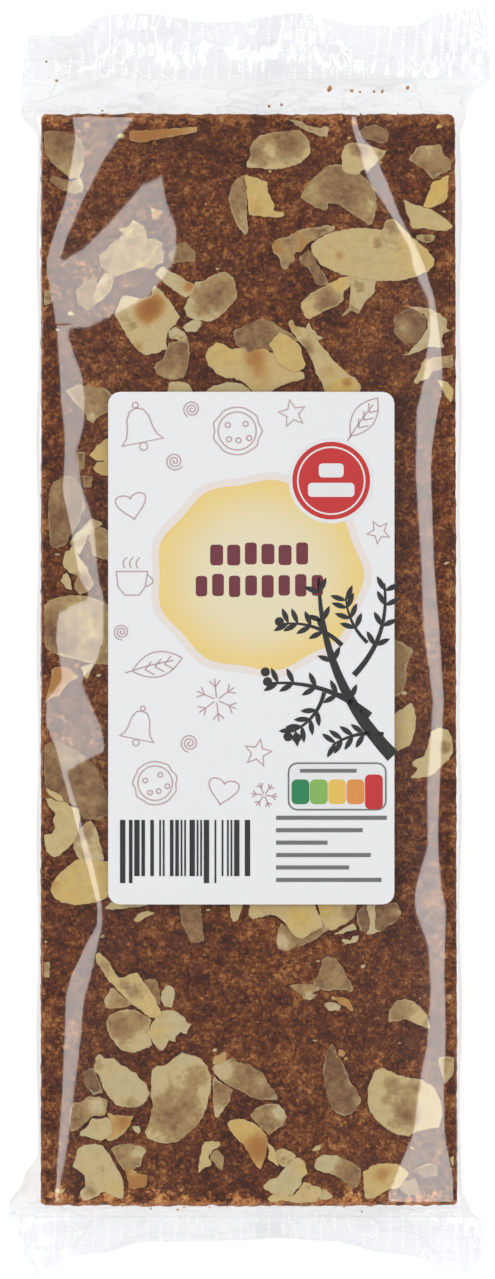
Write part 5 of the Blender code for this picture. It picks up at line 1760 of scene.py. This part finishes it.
# %% Panel, stripes and rows
PANEL = (15.9, -25.6)
PANEL_EDGE = rounded(*PANEL, 18.0, 8.6, 1.6)
FIELDS = (
    ("green", 3, 4.6), ("lime", 3, 4.6), ("yellow", 3, 4.6), ("orange", 3, 4.6), ("red", 4, 6.4),
)
STRIPES_LEFT, STRIPES_RIGHT = -24.3, -1.2
STRIPES_TOP, STRIPES_FOOT, LONG_FOOT = -31.8, -42.2, -43.5
LONG_STRIPES = (0, 2, 28, 30)
STRIPE_WIDTHS = (0.33, 0.33, 0.66, 0.99)
STRIPE_SEED = 12
ROWS_LEFT = 4.6
ROWS = ((20.5, -31.4), (16.0, -33.7), (9.5, -36.0), (17.5, -38.3), (13.5, -40.6), (19.5, -42.9))
line("grey", 3, PANEL_EDGE, 0.3, closed=True)
shape("white", 2, PANEL_EDGE)
line("grey", 3, ((9.0, -22.7), (19.5, -22.7)), 0.7)
for number, (ink, layer, high) in enumerate(FIELDS):
    shape(ink, layer, rounded(PANEL[0] - 6.8 + 3.4 * number, -26.6, 3.3, high, 0.9))
stripe_luck = random.Random(STRIPE_SEED)
u = STRIPES_LEFT
number = 0
while u < STRIPES_RIGHT:
    wide = stripe_luck.choice(STRIPE_WIDTHS)
    if number % 2 == 0:
        foot = LONG_FOOT if number in LONG_STRIPES else STRIPES_FOOT
        line("black", 3, ((u + wide / 2, STRIPES_TOP), (u + wide / 2, foot)), wide)
    u += wide
    number += 1
for wide, v in ROWS:
    line("grey", 3, ((ROWS_LEFT, v), (ROWS_LEFT + wide, v)), 0.75)
print(number, "stripes and gaps,", len(ROWS), "rows")

# %% [markdown]
# The rest of the paper is scattered with small outline motifs in pale mauve. Each is drawn once
# in a unit box, and a table says where it stands.

# %% Outline motifs
MOTIF_LINE = 0.24


def motif(kind):
    """The lines of one motif, as (path, is it closed), within 1 of its middle."""
    if kind == "star":
        tips = ring(0, 0, 1.0, count=5, turn=math.pi / 2)
        dips = ring(0, 0, 0.45, count=5, turn=math.pi * 0.7)
        return [([point for pair in zip(tips, dips) for point in pair], True)]
    if kind == "heart":
        steps = [2 * math.pi * step / 28 for step in range(28)]
        curve = [
            (0.95 * math.sin(a) ** 3, 0.75 * math.cos(a) - 0.3 * math.cos(2 * a) - 0.1 * math.cos(3 * a))
            for a in steps
        ]
        return [(curve, True)]
    if kind == "flake":
        arms = []
        for arm in ring(0, 0, 1.0, count=6, turn=math.pi / 6):
            tip = Vector(arm)
            arms.append(([tip * 0.12, tip], False))
            for way in (-1, 1):
                barb = tip * 0.9 + tip.orthogonal() * 0.26 * way
                arms.append(([tip * 0.62, barb], False))
        return arms
    if kind == "biscuit":
        spots = ((0.35, 0.3), (-0.4, 0.25), (0.05, -0.4), (0.5, -0.3), (-0.35, -0.35))
        rounds = [(ring(x, y, 0.11, count=10), True) for x, y in spots]
        rim = [(x * (1 + 0.05 * math.cos(9 * math.atan2(y, x))), y) for x, y in ring(0, 0, 1.0, count=54)]
        return [(rim, True), (ring(0, 0, 0.8, count=30), True), *rounds]
    if kind == "leaf":
        edge = arc((-0.9, -0.6), (0.9, 0.8), 0.24, 12) + arc((0.9, 0.8), (-0.9, -0.6), 0.24, 12)[1:-1]
        veins = [(arc((-1.15, -0.8), (0.6, 0.55), 0.02, 4), False)]
        for share in (-0.4, -0.05, 0.3):
            for way in (-1, 1):
                start = Vector((share, share * 0.8))
                veins.append(([start, start + Vector((0.3 - 0.18 * way, 0.2 + 0.24 * way))], False))
        return [(edge, True), *veins]
    if kind == "cup":
        body = [(-0.8, 0.35), (-0.72, -0.35), (-0.4, -0.75), (0.25, -0.75), (0.55, -0.35), (0.65, 0.35)]
        steam = [(arc((x, 0.5), (x + 0.1, 1.0), 0.25, 6), False) for x in (-0.4, -0.1, 0.2)]
        return [(body, True), (arc((0.63, 0.2), (0.56, -0.35), 0.55, 8), False), *steam]
    if kind == "bell":
        half = [(0.0, 0.85), (0.28, 0.75), (0.45, 0.45), (0.52, 0.0), (0.62, -0.3), (0.85, -0.55)]
        edge = half + [(-x, y) for x, y in reversed(half[1:])]
        return [(edge, True), (ring(0, -0.72, 0.16, count=12), True), (ring(0, 0.97, 0.12, count=10), True)]
    turns = [(0.07 + 0.93 * step / 40, 2.6 * 2 * math.pi * step / 40) for step in range(41)]
    return [([(reach * math.cos(a), reach * math.sin(a)) for reach, a in turns], False)]


MOTIFS = (
    ("bell", -20.6, 40.6, 4.6, 0.2), ("curl", -11.0, 44.2, 1.6, 0.4),
    ("biscuit", -2.6, 40.2, 4.4, 0.0), ("star", 7.6, 43.4, 2.6, 0.2),
    ("leaf", 21.0, 42.4, 3.8, 0.3), ("curl", -14.2, 34.6, 1.7, 2.0),
    ("heart", -22.2, 26.6, 3.0, 0.2), ("star", 23.6, 21.5, 2.2, 0.5),
    ("cup", -21.8, 12.8, 4.0, 0.0), ("curl", -24.0, 3.0, 1.5, 1.0),
    ("leaf", -17.6, -3.4, 4.2, -0.4), ("flake", -6.4, -9.6, 4.0, 0.1),
    ("bell", -20.8, -14.8, 3.8, -0.2), ("curl", -11.4, -17.6, 1.7, 0.8),
    ("star", 1.2, -19.4, 2.6, -0.2), ("biscuit", -17.8, -25.0, 4.0, 0.3),
    ("heart", -5.2, -26.2, 3.0, -0.2), ("flake", 2.4, -27.2, 2.4, 0.4),
)
for kind, u, v, size, turn in MOTIFS:
    for path, closed in motif(kind):
        points = []
        for x, y in path:
            across = x * math.cos(turn) - y * math.sin(turn)
            points.append((u + size * across, v + size * (x * math.sin(turn) + y * math.cos(turn))))
        line("mauve", 2, points, MOTIF_LINE, closed=closed)
print(len(MOTIFS), "motifs of", len(inks["mauve"]), "lines")

# %% [markdown]
# Every ink becomes one piece. The pale field fades from cream in its middle to yellow at its
# edge, which a distance from the middle gives.

# %% Inks
plain_ink("halo", linear(253, 243, 236))
yellow_field = Recipe("ink_cream")
parts = yellow_field.add("ShaderNodeSeparateXYZ", None, {0: yellow_field.place()})
off_x = (parts["X"] - (FIELD[0] + LABEL_X) * MM) / (CREAM_SIZE[0] * MM)
off_y = (parts["Y"] - (FIELD[1] + LABEL_Y) * MM) / (CREAM_SIZE[1] * MM)
outwards = (off_x * off_x + off_y * off_y).step(0.1, 1.0)
field_tint = yellow_field.colours(outwards, linear(247, 236, 200), linear(252, 222, 140))
field_coat = yellow_field.coat({"Base Color": field_tint, "Roughness": INK_ROUGH})
printed("cream", yellow_field.finished(field_coat))
INKS = {
    "mauve": (205, 176, 176),
    "white": (250, 250, 250),
    "grey": (120, 118, 120),
    "maroon": (118, 38, 52),
    "red": (214, 34, 36),
    "green": (20, 140, 84),
    "lime": (140, 196, 92),
    "yellow": (250, 206, 90),
    "orange": (240, 156, 70),
    "black": (30, 28, 30),
}
for ink, colour in INKS.items():
    plain_ink(ink, linear(*colour))
